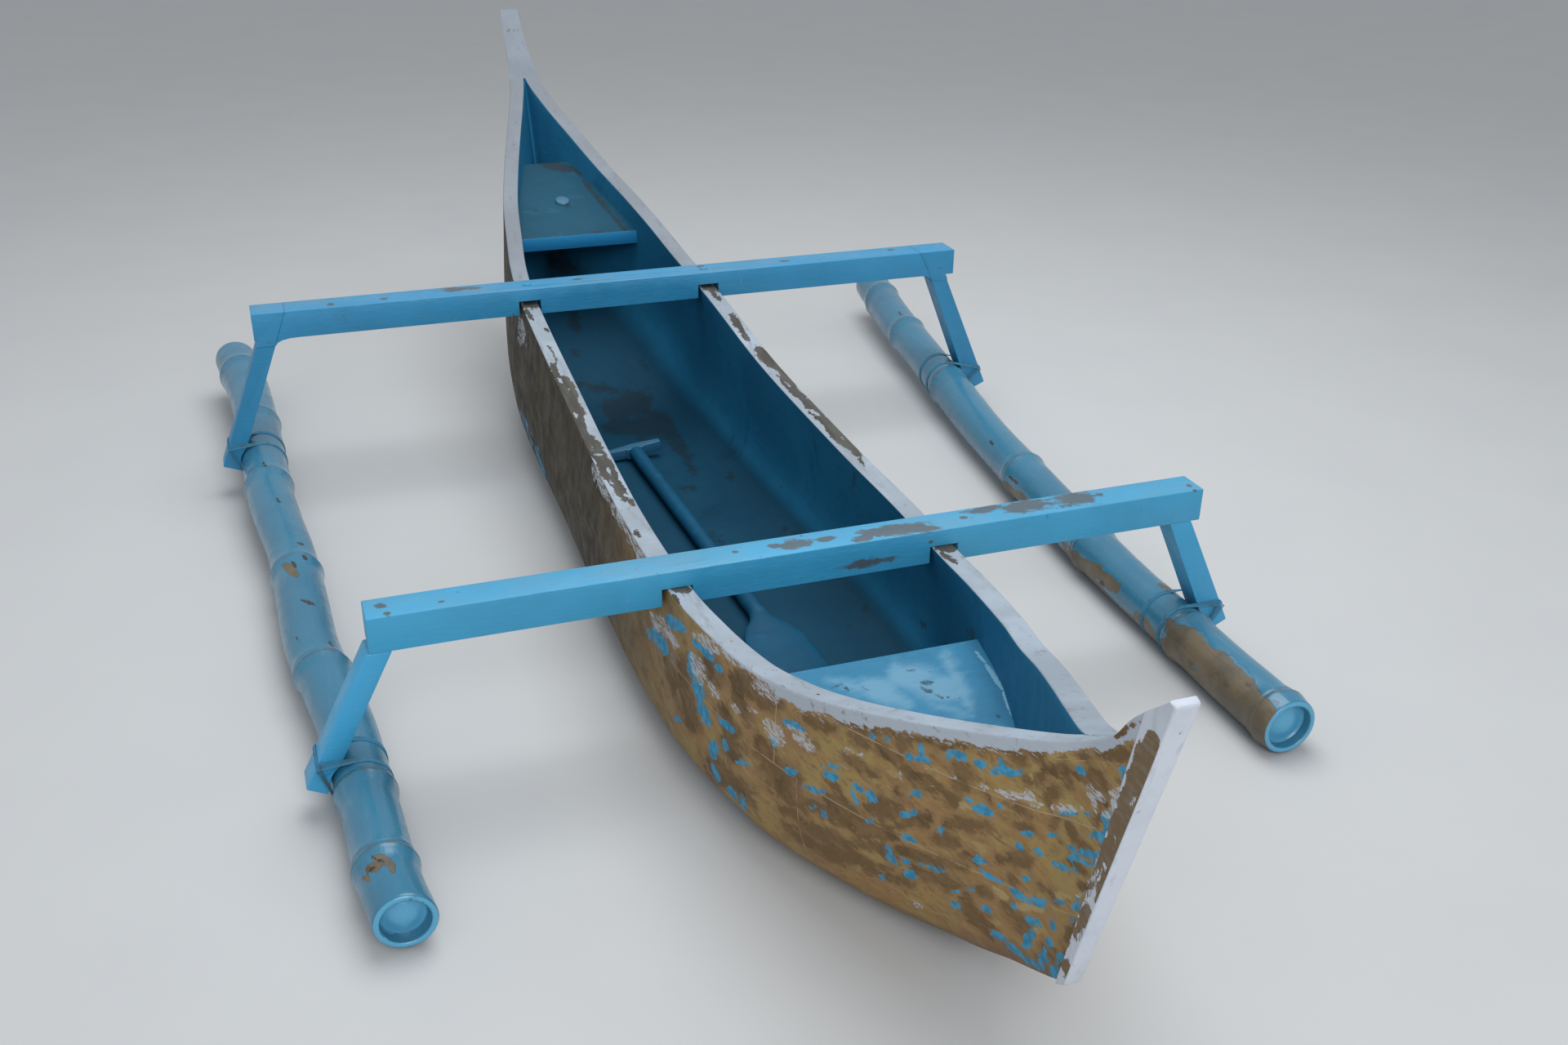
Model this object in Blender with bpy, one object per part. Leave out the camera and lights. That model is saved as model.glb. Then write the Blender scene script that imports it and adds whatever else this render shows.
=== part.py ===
# Double outrigger canoe: hollow planked hull, two booms, struts, bamboo floats and a paddle.
# Metres, +Z up. The bow points to -Y, port is +X, and Z = 0 is the ground under the keel.
import math

import bmesh
import bpy
from mathutils import Vector

GAP = 0.0003

# Hull lines: (Y at the gunwale, value) stations, joined by a smooth curve.
HALF_BEAM = [
    (-1.745, 0.015), (-1.62, 0.021), (-1.56, 0.042), (-1.44, 0.091), (-1.34, 0.131),
    (-1.24, 0.167), (-1.14, 0.195), (-1.04, 0.220), (-0.89, 0.239), (-0.74, 0.249),
    (-0.55, 0.253), (-0.19, 0.246), (0.11, 0.237), (0.41, 0.233), (0.56, 0.229),
    (0.71, 0.218), (0.86, 0.198), (1.01, 0.175), (1.16, 0.143), (1.31, 0.105),
    (1.46, 0.064), (1.55, 0.042), (1.62, 0.033), (1.74, 0.023),
]
SHEER = [
    (-1.70, 0.630), (-1.672, 0.600), (-1.650, 0.568), (-1.60, 0.530), (-1.56, 0.507),
    (-1.44, 0.456), (-1.34, 0.418), (-1.24, 0.383),
    (-1.14, 0.353), (-1.04, 0.334), (-0.89, 0.318), (-0.74, 0.3075), (-0.45, 0.3075),
    (-0.19, 0.316), (0.11, 0.336), (0.41, 0.370), (0.56, 0.388), (0.71, 0.411),
    (0.86, 0.450), (1.01, 0.487), (1.16, 0.530), (1.31, 0.587), (1.46, 0.650),
    (1.56, 0.700), (1.62, 0.745), (1.74, 0.860),
]
KEEL = [
    (-1.62, 0.190), (-1.595, 0.171), (-1.475, 0.101), (-1.365, 0.042), (-1.25, 0.010),
    (-1.10, 0.0), (0.55, 0.0), (0.85, 0.055), (1.10, 0.165), (1.30, 0.275), (1.46, 0.385),
    (1.56, 0.470),
]
FLOOR = [
    (-1.745, 0.225), (-1.55, 0.150), (-1.40, 0.085), (-1.25, 0.050), (-1.10, 0.038),
    (0.58, 0.038), (0.85, 0.115), (1.17, 0.280), (1.40, 0.410), (1.60, 0.560),
]
FULLNESS = [
    (-1.745, 1.3), (-1.56, 1.6), (-1.40, 2.2), (-1.20, 3.6), (-1.00, 5.0), (-0.70, 6.0),
    (0.30, 6.0), (0.80, 4.2), (1.20, 2.6), (1.50, 1.8),
]
BELLY = [
    (-1.20, 0.0), (-1.00, 0.010), (-0.80, 0.025), (-0.55, 0.030), (0.20, 0.028), (0.70, 0.029),
    (0.88, 0.027), (1.02, 0.016), (1.16, 0.006), (1.30, 0.0),
]
WALL = 0.038
KEEL_FLAT = 0.038
CENTRE_PLANE = 0.0002
BOW_RAKE = 0.236
STERN_RAKE = -0.35
BOW_JOINT = -1.694
STERN_JOINT = 1.56

# Seams between the log, the two planks of each side and the bow cheeks, as heights.
LOG_TOP = [
    (-1.745, 0.255), (-1.55, 0.190), (-1.40, 0.130), (-1.25, 0.095), (-1.10, 0.080),
    (0.58, 0.080), (0.85, 0.155), (1.17, 0.320), (1.40, 0.450), (1.60, 0.600),
]
SEAM = [
    (-1.694, 0.290), (-1.60, 0.254), (-1.50, 0.237), (-1.40, 0.228), (-1.27, 0.223), (-1.13, 0.213),
    (-0.93, 0.209), (-0.40, 0.202), (0.30, 0.215), (0.60, 0.250), (0.90, 0.330), (1.20, 0.440),
    (1.56, 0.650),
]
CHEEK_SEAM = [(-1.694, 0.440), (-1.55, 0.392), (-1.44, 0.377), (-1.33, 0.367), (-1.24, 0.358)]
CHEEK_AFT = -1.240
CHEEK_STEP = 0.0005
UPPER_BUTTS = (-1.118, 0.700)
LOWER_BUTTS = (-1.170, 0.820)
PLANK_LEVELS = 4
CHEEK_LEVELS = 2
LOG_STEPS = 7

# Posts: points as (half-width, Y, Z), from low to high.
POST_MIN_HALF = 0.012
STEM_FACE = ((0.012, -1.606, 0.180), (0.015, -1.741, 0.656))
STEM_HEAD = [(0.0165, -1.712, 0.640), (0.0155, -1.731, 0.6575)]
STERN_TOE = (0.012, 0.030, -0.002)
STERN_HEEL = (0.020, 1.632, 0.615)
HORN = [
    ((0.033, 1.620, 0.745), (0.020, 1.662, 0.672)),
    ((0.028, 1.680, 0.798), (0.020, 1.704, 0.740)),
    ((0.0235, 1.735, 0.862), (0.019, 1.742, 0.820)),
]

# Booms: Y of the front face, height of the top, and each end's distance from the centre plane.
BOOM_HEIGHT = 0.060
NOTCH_SLACK = 0.0025
FRONT_BOOM = -0.740
FRONT_TOP = 0.338
FRONT_DEPTH = 0.062
FRONT_ENDS = {"port": 0.741, "starboard": 0.714}
REAR_BOOM = 0.518
REAR_TOP = 0.420
REAR_DEPTH = 0.070
REAR_ENDS = {"port": 0.850, "starboard": 0.812}
SCARF_TOPS = {"port": 0.758, "starboard": 0.742}
FILLETS = {"port": 0.026, "starboard": 0.044}
FILLET_DOWN = 0.016
FILLET_STEPS = 4

# Struts: outer face's X at the boom's underside, outer corner (X, Z) of the foot, and the
# thickness at the top and at the foot.
STRUT_DEPTH = 0.050
STRUT_INSET = 0.0015
STRUT_ROOT = 0.030
FRONT_STRUTS = {
    "port": (0.723, (0.8345, 0.0545), 0.0390, 0.0445),
    "starboard": (0.7185, (0.832, 0.0575), 0.0340, 0.0340),
}
REAR_STRUTS = {
    "port": (0.830, (0.9605, 0.0590), 0.0390, 0.0475),
    "starboard": (0.8055, (0.915, 0.0780), 0.0385, 0.0365),
}
SADDLE_STEP = math.radians(9)

# Floats: (Y, value) stations of the culms' centre lines, radii and heights.
FLOAT_ACROSS = {
    "port": [
        (-1.085, 0.7225), (-0.92, 0.7240), (-0.80, 0.7285), (-0.69, 0.7320), (-0.60, 0.7335), (-0.45, 0.7405),
        (-0.30, 0.7530), (-0.10, 0.7705), (0.10, 0.7885), (0.25, 0.8055), (0.40, 0.8270), (0.60, 0.8537),
        (0.75, 0.8739), (0.93, 0.8967), (1.13, 0.9308), (1.27, 0.9560),
    ],
    "starboard": [
        (-1.085, 0.7255), (-0.98, 0.7380), (-0.83, 0.7437), (-0.58, 0.7570), (-0.45, 0.7725), (-0.28, 0.7920),
        (-0.17, 0.7945), (-0.05, 0.7965), (0.07, 0.8017), (0.21, 0.8153), (0.35, 0.8257), (0.60, 0.8300),
        (0.85, 0.8374), (1.05, 0.8520), (1.17, 0.8640),
    ],
}
FLOAT_GIRTH = {
    "port": [
        (-1.085, 0.0500), (-0.85, 0.0483), (-0.60, 0.0462), (-0.45, 0.0478), (-0.10, 0.0490), (0.10, 0.0468),
        (0.40, 0.0495), (0.60, 0.0480), (0.93, 0.0490), (1.27, 0.0485),
    ],
    "starboard": [
        (-1.085, 0.0455), (-0.83, 0.0445), (-0.58, 0.0468), (-0.20, 0.0472), (0.07, 0.0452), (0.30, 0.0475),
        (0.85, 0.0482), (1.05, 0.0505), (1.17, 0.0500),
    ],
}
FLOAT_NODES = {
    "port": [-0.94, -0.61, -0.30, 0.12, 0.46, 0.87, 1.10],
    "starboard": [-1.01, -0.61, -0.36, 0.04, 0.45, 0.88],
}
FLOAT_HEIGHT = {
    "port": [(-1.20, 0.0540), (-0.70, 0.0545), (0.0, 0.0640), (0.55, 0.0780), (1.30, 0.1020)],
    "starboard": [(-1.20, 0.0505), (-0.70, 0.0520), (0.0, 0.0630), (0.55, 0.0780), (1.30, 0.1020)],
}
NODE_SWELL = 0.004
NODE_REACH = 0.020
FLOAT_SIDES = 16
FLOAT_TURN = math.radians(24)
END_RECESS = 0.030
END_RIM = 0.011

CORD = 0.003
LASHING_WIDE = 0.010
LASHING_UP = 0.046
LASHING_SLACK = 0.0009
LASHING_SIDES = 16
BRIDGE_INSET = 0.0004

# Fixed panels: Y and top height of the fore and aft edges.
BENCH_FORE = (-1.400, 0.238)
BENCH_AFT = (-0.930, 0.238)
BENCH_THICK = 0.020
SEAT_FORE = (0.950, 0.413)
SEAT_AFT = (1.310, 0.518)
SEAT_THICK = 0.034
PANEL_FIT = 0.0009
PEG_RADIUS = 0.009
PEG_HEAD = 0.002
PLUG_PLACE = (-0.003, 1.110)
PLUG_RADIUS = 0.019
PLUG_HEIGHT = 0.008

# Paddle on the hull's floor, along a line a little off the boat's centre line.
PADDLE_X = -0.0075
PADDLE_SKEW = -0.031
PADDLE_GRIP = 0.350
PADDLE_BLADE = -0.460
PADDLE_TIP = -0.905
PADDLE_TILT = math.radians(7)
GRIP_LIFT = 0.0215
SHAFT_RADIUS = 0.0165
BLADE_HALF = 0.058
GRIP_HALF = 0.062
GRIP_DEEP = 0.026
GRIP_THICK = 0.024
COLLAR_HALF = 0.021
COLLAR_LONG = 0.034

COLORS = {
    "sky_blue": ((0.05, 0.30, 0.50, 1), 0.45),
    "deep_blue": ((0.03, 0.20, 0.36, 1), 0.5),
    "hull_wood": ((0.20, 0.14, 0.07, 1), 0.7),
    "white": ((0.50, 0.52, 0.55, 1), 0.6),
    "cord": ((0.15, 0.22, 0.26, 1), 0.8),
}
SIDES = {"port": 1, "starboard": -1}


def clear_scene():
    for obj in list(bpy.data.objects):
        bpy.data.objects.remove(obj, do_unlink=True)


def material(name):
    mat = bpy.data.materials.get(name)
    if mat is None:
        color, roughness = COLORS[name]
        mat = bpy.data.materials.new(name)
        mat.use_nodes = True
        shader = mat.node_tree.nodes["Principled BSDF"]
        shader.inputs["Base Color"].default_value = color
        shader.inputs["Roughness"].default_value = roughness
        shader.inputs["Metallic"].default_value = 0.0
    return mat


def smooth(stations, y):
    """Value at y of the smooth curve through the stations, with no overshoot."""
    if y <= stations[0][0]:
        return stations[0][1]
    if y >= stations[-1][0]:
        return stations[-1][1]
    slopes = [(b[1] - a[1]) / (b[0] - a[0]) for a, b in zip(stations, stations[1:])]
    i = max(k for k in range(len(slopes)) if stations[k][0] <= y)

    def tangent(k):
        if k == 0 or k == len(stations) - 1:
            return slopes[0] if k == 0 else slopes[-1]
        left, right = slopes[k - 1], slopes[k]
        if left * right <= 0:
            return 0.0
        return 2 * left * right / (left + right)

    (y0, v0), (y1, v1) = stations[i], stations[i + 1]
    span = y1 - y0
    t = (y - y0) / span
    return (v0 * (1 + 2 * t) * (1 - t) ** 2 + v1 * t * t * (3 - 2 * t)
            + span * (tangent(i) * t * (1 - t) ** 2 - tangent(i + 1) * t * t * (1 - t)))


def add_solid(name, verts, faces, mat, sharp=35):
    mesh = bpy.data.meshes.new(name)
    mesh.from_pydata(verts, [], faces)
    bm = bmesh.new()
    bm.from_mesh(mesh)
    bmesh.ops.recalc_face_normals(bm, faces=bm.faces)
    bm.to_mesh(mesh)
    bm.free()
    mesh.shade_smooth()
    mesh.set_sharp_from_angle(angle=math.radians(sharp))
    mesh.materials.append(material(mat))
    obj = bpy.data.objects.new(name, mesh)
    bpy.context.scene.collection.objects.link(obj)
    return obj


def loft(name, rings, mat):
    """Closed solid through rings of equal length, capped at both ends."""
    count = len(rings[0])
    verts = [point for ring in rings for point in ring]
    faces = [tuple(range(count)), tuple(range(len(verts) - count, len(verts)))]
    for i in range(len(rings) - 1):
        a, b = i * count, (i + 1) * count
        for k in range(count):
            j = (k + 1) % count
            faces.append((a + k, a + j, b + j))
            faces.append((a + k, b + j, b + k))
    return add_solid(name, verts, faces, mat)


def band(name, rings, mat):
    """Closed loop through rings of equal length."""
    count = len(rings[0])
    verts = [point for ring in rings for point in ring]
    faces = []
    for i in range(len(rings)):
        a, b = i * count, (i + 1) % len(rings) * count
        for k in range(count):
            j = (k + 1) % count
            faces.append((a + k, a + j, b + j, b + k))
    return add_solid(name, verts, faces, mat)


def prism_y(name, outline, y0, y1, mat):
    """Solid from an outline of (x, z) points, extruded from y0 to y1."""
    return loft(name, [[(x, y, z) for x, z in outline] for y in (y0, y1)], mat)


def disc(name, x, y, z0, z1, radius, mat, sides=16):
    turns = [2 * math.pi * k / sides for k in range(sides)]
    circle = [(x + radius * math.cos(a), y + radius * math.sin(a)) for a in turns]
    return loft(name, [[(cx, cy, z) for cx, cy in circle] for z in (z0, z1)], mat)


def join(target, other, operation):
    """Adds or cuts one solid; the other one stays only as a guide."""
    mod = target.modifiers.new(other.name, "BOOLEAN")
    mod.operation = operation
    mod.solver = "EXACT"
    mod.object = other
    other.hide_render = True
    other.display_type = "WIRE"


class Station:
    """One slanted cross-section of the hull, named by its Y at the gunwale."""

    def __init__(self, y):
        self.y_top = y
        self.top = smooth(SHEER, y)
        self.slope = self.rake(y)
        keel_y = y + self.slope * self.top
        for _ in range(8):
            keel_y = y + self.slope * (self.top - smooth(KEEL, keel_y))
        self.keel = smooth(KEEL, keel_y)
        self.floor = smooth(FLOOR, y + self.slope * self.top)
        self.beam = smooth(HALF_BEAM, y)
        self.inner = max(0.0, self.beam - WALL)
        self.belly = smooth(BELLY, y)
        self.n = smooth(FULLNESS, y)
        self.log_top = smooth(LOG_TOP, y)
        self.seam = smooth(SEAM, y)
        self.cheek = smooth(CHEEK_SEAM, y)

    @staticmethod
    def rake(y):
        if y < -1.0:
            return BOW_RAKE * min(1.0, (-1.0 - y) / 0.55)
        if y > 0.7:
            return STERN_RAKE * min(1.0, (y - 0.7) / 0.8)
        return 0.0

    def at(self, x, z):
        return (x, self.y_top + self.slope * (self.top - z), z)

    def half_width(self, at_top, share):
        """Half-width of a rounded section at a share of its depth, widest below the top."""
        bulge = self.belly * share * (2 - share)
        return (at_top + bulge) * (1 - share ** self.n) ** (1 / self.n)

    def outer(self, z):
        share = (self.top - z) / (self.top - self.keel)
        return self.half_width(self.beam, min(1.0, max(0.0, share)))

    def hollow(self, z):
        share = (self.top - z) / (self.top - self.floor)
        if share >= 1 or self.inner <= CENTRE_PLANE:
            return CENTRE_PLANE
        return max(CENTRE_PLANE, self.half_width(self.inner, max(0.0, share)))

    def plank_edges(self):
        """Upper and lower edge heights of the planks, the topmost plank first."""
        half = GAP / 2
        lower = (self.seam - half, self.log_top + half)
        if self.y_top > CHEEK_AFT - CHEEK_STEP / 2:
            return [(self.top, self.seam + half), lower]
        return [(self.top, self.cheek + half), (self.cheek - half, self.seam + half), lower]


def station_through(y, z):
    """Station whose slanted plane passes through a point at Y and height z."""
    gunwale = y
    for _ in range(12):
        st = Station(gunwale)
        gunwale = y - st.slope * (st.top - z)
    return Station(gunwale)


def hull_stations(count=25):
    """Sections from the bow joint to the stern joint, closer together at the ends."""
    fixed = [station_through(*edge).y_top for edge in (BENCH_FORE, BENCH_AFT, SEAT_FORE, SEAT_AFT)]
    fixed += [FRONT_BOOM, FRONT_BOOM + FRONT_DEPTH, REAR_BOOM, REAR_BOOM + REAR_DEPTH]
    fixed += [butt + way * GAP / 2 for butt in UPPER_BUTTS + LOWER_BUTTS for way in (-1, 1)]
    fixed += [CHEEK_AFT, CHEEK_AFT - CHEEK_STEP, CHEEK_AFT - CHEEK_STEP - GAP]
    places = list(fixed)
    mid = (BOW_JOINT + STERN_JOINT) / 2
    half = (STERN_JOINT - BOW_JOINT) / 2
    for i in range(count):
        t = -1 + 2 * i / (count - 1)
        y = mid + half * (0.55 * math.sin(t * math.pi / 2) + 0.45 * t)
        if min(abs(y - other) for other in fixed) > 0.03:
            places.append(y)
    return [Station(y) for y in sorted(places)]


def shared_heights(high, low, levels):
    return [high + (low - high) * k / levels for k in range(levels + 1)]


def plank(name, side, stations, row, levels=PLANK_LEVELS):
    """Plank between two seams; row counts up from the lowest plank."""
    rings = []
    for st in stations:
        heights = shared_heights(*st.plank_edges()[-1 - row], levels)
        outer = [st.at(side * st.outer(z), z) for z in heights]
        inner = [st.at(side * st.hollow(z), z) for z in reversed(heights)]
        rings.append(outer + inner)
    return loft(name, rings, "hull_wood")


def rounded_run(st, at_top, depth, low):
    """Points (x, z) of a section below height low, from starboard round to port."""
    start = math.asin(min(1.0, ((st.top - low) / depth) ** (st.n / 2)))
    half = []
    for k in range(LOG_STEPS + 1):
        turn = start + (math.pi / 2 - start) * k / LOG_STEPS
        share = math.sin(turn) ** (2 / st.n)
        bulge = st.belly * share * (2 - share)
        wide = (at_top + bulge) * max(0.0, math.cos(turn)) ** (2 / st.n)
        if k >= LOG_STEPS - 1:
            share = 1.0
        half.append((wide, st.top - depth * share))
    return [(-x, z) for x, z in half] + half[-2::-1]


def log_piece(name, stations):
    """Bottom piece: keel, bilges and floor, from one log seam to the other."""
    rings = []
    for st in stations:
        edge = st.log_top - GAP / 2
        outer = rounded_run(st, st.beam, st.top - st.keel, edge)
        if st.hollow(edge) > 2 * CENTRE_PLANE:
            inner = rounded_run(st, st.inner, st.top - st.floor, edge)
        else:
            inner = [(x / 2, edge) for x, _ in outer]
        rings.append([st.at(x, z) for x, z in outer + inner[::-1]])
    return loft(name, rings, "hull_wood")


def cut_at(stations, butts):
    """Stations of the bow, middle and stern lengths between two butt joints."""
    fore, aft = butts
    return (("bow_", [st for st in stations if st.y_top < fore]),
            ("", [st for st in stations if fore < st.y_top < aft]),
            ("stern_", [st for st in stations if st.y_top > aft]))


def make_hull(stations):
    for length, part in cut_at(stations, LOWER_BUTTS):
        log_piece(f"{length}log" if length else "hull_log", part)
    cheek = [st for st in stations if st.y_top < CHEEK_AFT - CHEEK_STEP - GAP / 2]
    for label, side in SIDES.items():
        for length, part in cut_at(stations, LOWER_BUTTS):
            plank(f"{length}lower_strake_{label}", side, part, 0)
        for length, part in cut_at(stations, UPPER_BUTTS):
            plank(f"{length}upper_strake_{label}", side, part, 1)
        plank(f"bow_cheek_{label}", side, cheek, 2, CHEEK_LEVELS)


def faceted_half(st, z):
    """Half-width of the hollow at one station, on the planks' straight facets."""
    heights = []
    for high, low in st.plank_edges():
        levels = CHEEK_LEVELS if len(st.plank_edges()) == 3 and high == st.top else PLANK_LEVELS
        heights += shared_heights(high, low, levels)
    for high, low in zip(heights, heights[1:]):
        if low <= z <= high:
            t = (high - z) / (high - low)
            return st.hollow(high) * (1 - t) + st.hollow(low) * t
    return st.hollow(z)


def panel(name, stations, fore, aft, thick, mat):
    """Flat panel between two (Y, top height) edges, meeting the inside of the planks."""
    rings = []
    for st in stations:
        height = fore[1]
        for _ in range(8):
            share = (st.at(0, height)[1] - fore[0]) / (aft[0] - fore[0])
            height = fore[1] + (aft[1] - fore[1]) * share
        if not -0.001 < share < 1.001:
            continue
        high = faceted_half(st, height) - PANEL_FIT
        low = faceted_half(st, height - thick) - PANEL_FIT
        rings.append([st.at(-high, height), st.at(high, height),
                      st.at(low, height - thick), st.at(-low, height - thick)])
    return loft(name, rings, mat)


def joint_levels(joint, levels):
    """Points (half-width, y, z) down one joint plane, lowest first."""
    points = []
    for z in shared_heights(joint.keel, joint.top, levels):
        points.append((max(POST_MIN_HALF, joint.outer(z)), joint.at(0, z)[1], z))
    return points


def post(name, near, far):
    """Solid post between matching (half-width, y, z) points on its two long faces."""
    rings = []
    for (wide_a, ya, za), (wide_b, yb, zb) in zip(near, far):
        rings.append([(-wide_a, ya, za), (wide_a, ya, za), (wide_b, yb, zb), (-wide_b, yb, zb)])
    return loft(name, rings, "white")


def shared_run(start, end, count):
    """Evenly shared points from start to end."""
    return [tuple(a + (b - a) * k / count for a, b in zip(start, end)) for k in range(count + 1)]


def make_stem():
    """Raked stem post with its low head, in front of the planks."""
    joint = [(w, y - GAP, z) for w, y, z in joint_levels(Station(BOW_JOINT), 8)]
    face = shared_run(*STEM_FACE, len(joint + STEM_HEAD) - 1)
    return post("stem_post", joint + STEM_HEAD, face)


def make_stern_post():
    """Tall post that sweeps up and aft from the plank ends to a slim horn."""
    joint = [(w, y + GAP, z) for w, y, z in joint_levels(Station(STERN_JOINT), 6)]
    _, low_y, low_z = joint[0]
    toe_half, toe_aft, toe_rise = STERN_TOE
    back = shared_run((toe_half, low_y + toe_aft, low_z + toe_rise), STERN_HEEL, len(joint) - 1)
    return post("stern_post", joint + [fore for fore, _ in HORN], back + [aft for _, aft in HORN])


def notches(y0, depth, low):
    """Half outline (x, z) of a boom's underside, from the centre out past one gunwale."""
    near, far = Station(y0), Station(y0 + depth)
    roof = max(near.top, far.top) + GAP
    inner = min(near.beam, far.beam) - WALL - NOTCH_SLACK
    outer = max(near.outer(low), far.outer(low)) + NOTCH_SLACK
    return [(inner, low), (inner, roof), (outer, roof), (outer, low)]


def make_front_boom():
    """Squared beam along X with a notch over each gunwale."""
    low = FRONT_TOP - BOOM_HEIGHT
    under = notches(FRONT_BOOM, FRONT_DEPTH, low)
    right = under + [(FRONT_ENDS["port"], low), (FRONT_ENDS["port"], FRONT_TOP)]
    left = [(-FRONT_ENDS["starboard"], FRONT_TOP), (-FRONT_ENDS["starboard"], low)]
    left += [(-x, z) for x, z in reversed(under)]
    return prism_y("front_boom", left + right, FRONT_BOOM, FRONT_BOOM + FRONT_DEPTH, "sky_blue")


def float_point(label, y):
    """Distance from the centre plane and height of a float's centre line."""
    return Vector((smooth(FLOAT_ACROSS[label], y), smooth(FLOAT_HEIGHT[label], y)))


def float_radius(label, y):
    near = min(abs(y - node) for node in FLOAT_NODES[label])
    return smooth(FLOAT_GIRTH[label], y) + NODE_SWELL * math.exp(-(near / NODE_REACH) ** 2)


def make_float(label, side):
    """Bamboo culm with swollen nodes and a recessed end wall at both ends."""
    start, end = FLOAT_ACROSS[label][0][0], FLOAT_ACROSS[label][-1][0]
    places = {start, end}
    for node in FLOAT_NODES[label]:
        for step in (-6, -1.8, -1, 0, 1, 1.8, 6):
            if start + 0.01 < node + step * NODE_REACH < end - 0.01:
                places.add(node + step * NODE_REACH)

    def ring(y, radius):
        centre = float_point(label, y)
        points = []
        for k in range(FLOAT_SIDES):
            a = FLOAT_TURN + 2 * math.pi * k / FLOAT_SIDES
            points.append((side * (centre.x + radius * math.cos(a)), y, centre.y + radius * math.sin(a)))
        return points

    rings = []
    for y, inward in ((start, END_RECESS), (end, -END_RECESS)):
        inner = float_radius(label, y) - END_RIM
        rings.append([ring(y + inward, inner), ring(y, inner)])
    outside = [ring(y, float_radius(label, y)) for y in sorted(places)]
    return loft(f"float_{label}", rings[0] + outside + rings[1][::-1], "sky_blue")


class Strut:
    """Slanted strut in the boom's plane, from the boom's underside down past its float."""

    def __init__(self, label, y0, low, lines):
        top_x, foot, self.thick, foot_thick = lines
        self.label, self.y0, self.y1 = label, y0, y0 + STRUT_DEPTH
        self.top, self.foot = Vector((top_x, low)), Vector(foot)
        self.down = (self.foot - self.top).normalized()
        self.outward = Vector((-self.down.y, self.down.x))
        self.inner_top = self.top - self.outward * self.thick
        self.inner_foot = self.foot - self.outward * foot_thick

    def face_at(self, z, inner):
        """Point of the outer or inner face at a height."""
        start, end = (self.inner_top, self.inner_foot) if inner else (self.top, self.foot)
        return start + (end - start) * ((z - start.y) / (end.y - start.y))

    def saddle(self):
        """Points from the foot up the inner face, hollowed where it meets the float."""
        centre = float_point(self.label, self.y1)
        clear = (float_radius(self.label, self.y1) + GAP) / math.cos(SADDLE_STEP / 2)
        along = (self.inner_top - self.inner_foot).normalized()
        middle = self.inner_foot + along * (centre - self.inner_foot).dot(along)
        sink = clear - (middle - centre).length
        if sink <= 0:
            return [self.inner_foot]
        half = math.acos(1 - sink / clear)
        aim = math.atan2(middle.y - centre.y, middle.x - centre.x)
        steps = math.ceil(2 * half / SADDLE_STEP)
        turns = [aim - half + 2 * half * k / steps for k in range(steps + 1)]
        return [self.inner_foot] + [centre + Vector((math.cos(a), math.sin(a))) * clear for a in turns]

    def outline(self, top):
        """Outline from the outer face's top round the foot to the inner face's top."""
        return [self.face_at(top, False), self.foot] + self.saddle() + [self.face_at(top, True)]


def mirrored(points, side):
    return [(side * p[0], p[1]) for p in points]


def make_front_strut(label, side):
    low = FRONT_TOP - BOOM_HEIGHT
    strut = Strut(label, FRONT_BOOM, low, FRONT_STRUTS[label])
    prism_y(f"front_strut_{label}", mirrored(strut.outline(low - GAP), side), strut.y0, strut.y1, "sky_blue")
    return strut


def fillet(strut, low, reach):
    """Curve from the boom's underside into the strut's inner face."""
    corner = strut.face_at(low, True)
    start, end = corner - Vector((reach, 0)), corner + strut.down * FILLET_DOWN
    points = []
    for k in range(FILLET_STEPS + 1):
        t = k / FILLET_STEPS
        points.append(start * (1 - t) ** 2 + corner * 2 * t * (1 - t) + end * t * t)
    return points


def make_rear_frame():
    """Rear boom with a scarfed knee at each end, whose lower arm is the strut."""
    low = REAR_TOP - BOOM_HEIGHT
    under = notches(REAR_BOOM, REAR_DEPTH, low)
    halves = {}
    struts = []
    for label, side in SIDES.items():
        strut = Strut(label, REAR_BOOM + STRUT_INSET, low, REAR_STRUTS[label])
        struts.append(strut)
        curve = fillet(strut, low, FILLETS[label])
        halves[label] = under + [tuple(p) for p in curve] + [(SCARF_TOPS[label], REAR_TOP)]
        scarf = [(SCARF_TOPS[label] + GAP * 1.2, REAR_TOP), (curve[-1].x + GAP * 1.2, curve[-1].y)]
        block = [scarf[0], (REAR_ENDS[label], REAR_TOP), (REAR_ENDS[label], low), strut.face_at(low, False),
                 strut.face_at(curve[-1].y, False), scarf[1]]
        knee = prism_y(f"rear_knee_{label}", mirrored(block, side), REAR_BOOM, REAR_BOOM + REAR_DEPTH,
                       "sky_blue")
        inner_top = strut.face_at(curve[-1].y + STRUT_ROOT / 2, True) + strut.outward * strut.thick / 2
        outer_top = strut.face_at(low + STRUT_ROOT, False) - strut.outward * STRUT_INSET
        root = [strut.face_at(curve[-1].y - STRUT_INSET, True), inner_top]
        arm = [outer_top, strut.foot] + strut.saddle() + root
        lower = prism_y(f"rear_arm_{label}", mirrored(arm, side), strut.y0, strut.y1, "sky_blue")
        join(knee, lower, "UNION")
    outline = mirrored(halves["starboard"][::-1], -1) + halves["port"]
    boom = prism_y("rear_boom", outline, REAR_BOOM, REAR_BOOM + REAR_DEPTH, "sky_blue")
    return boom, struts


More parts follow.
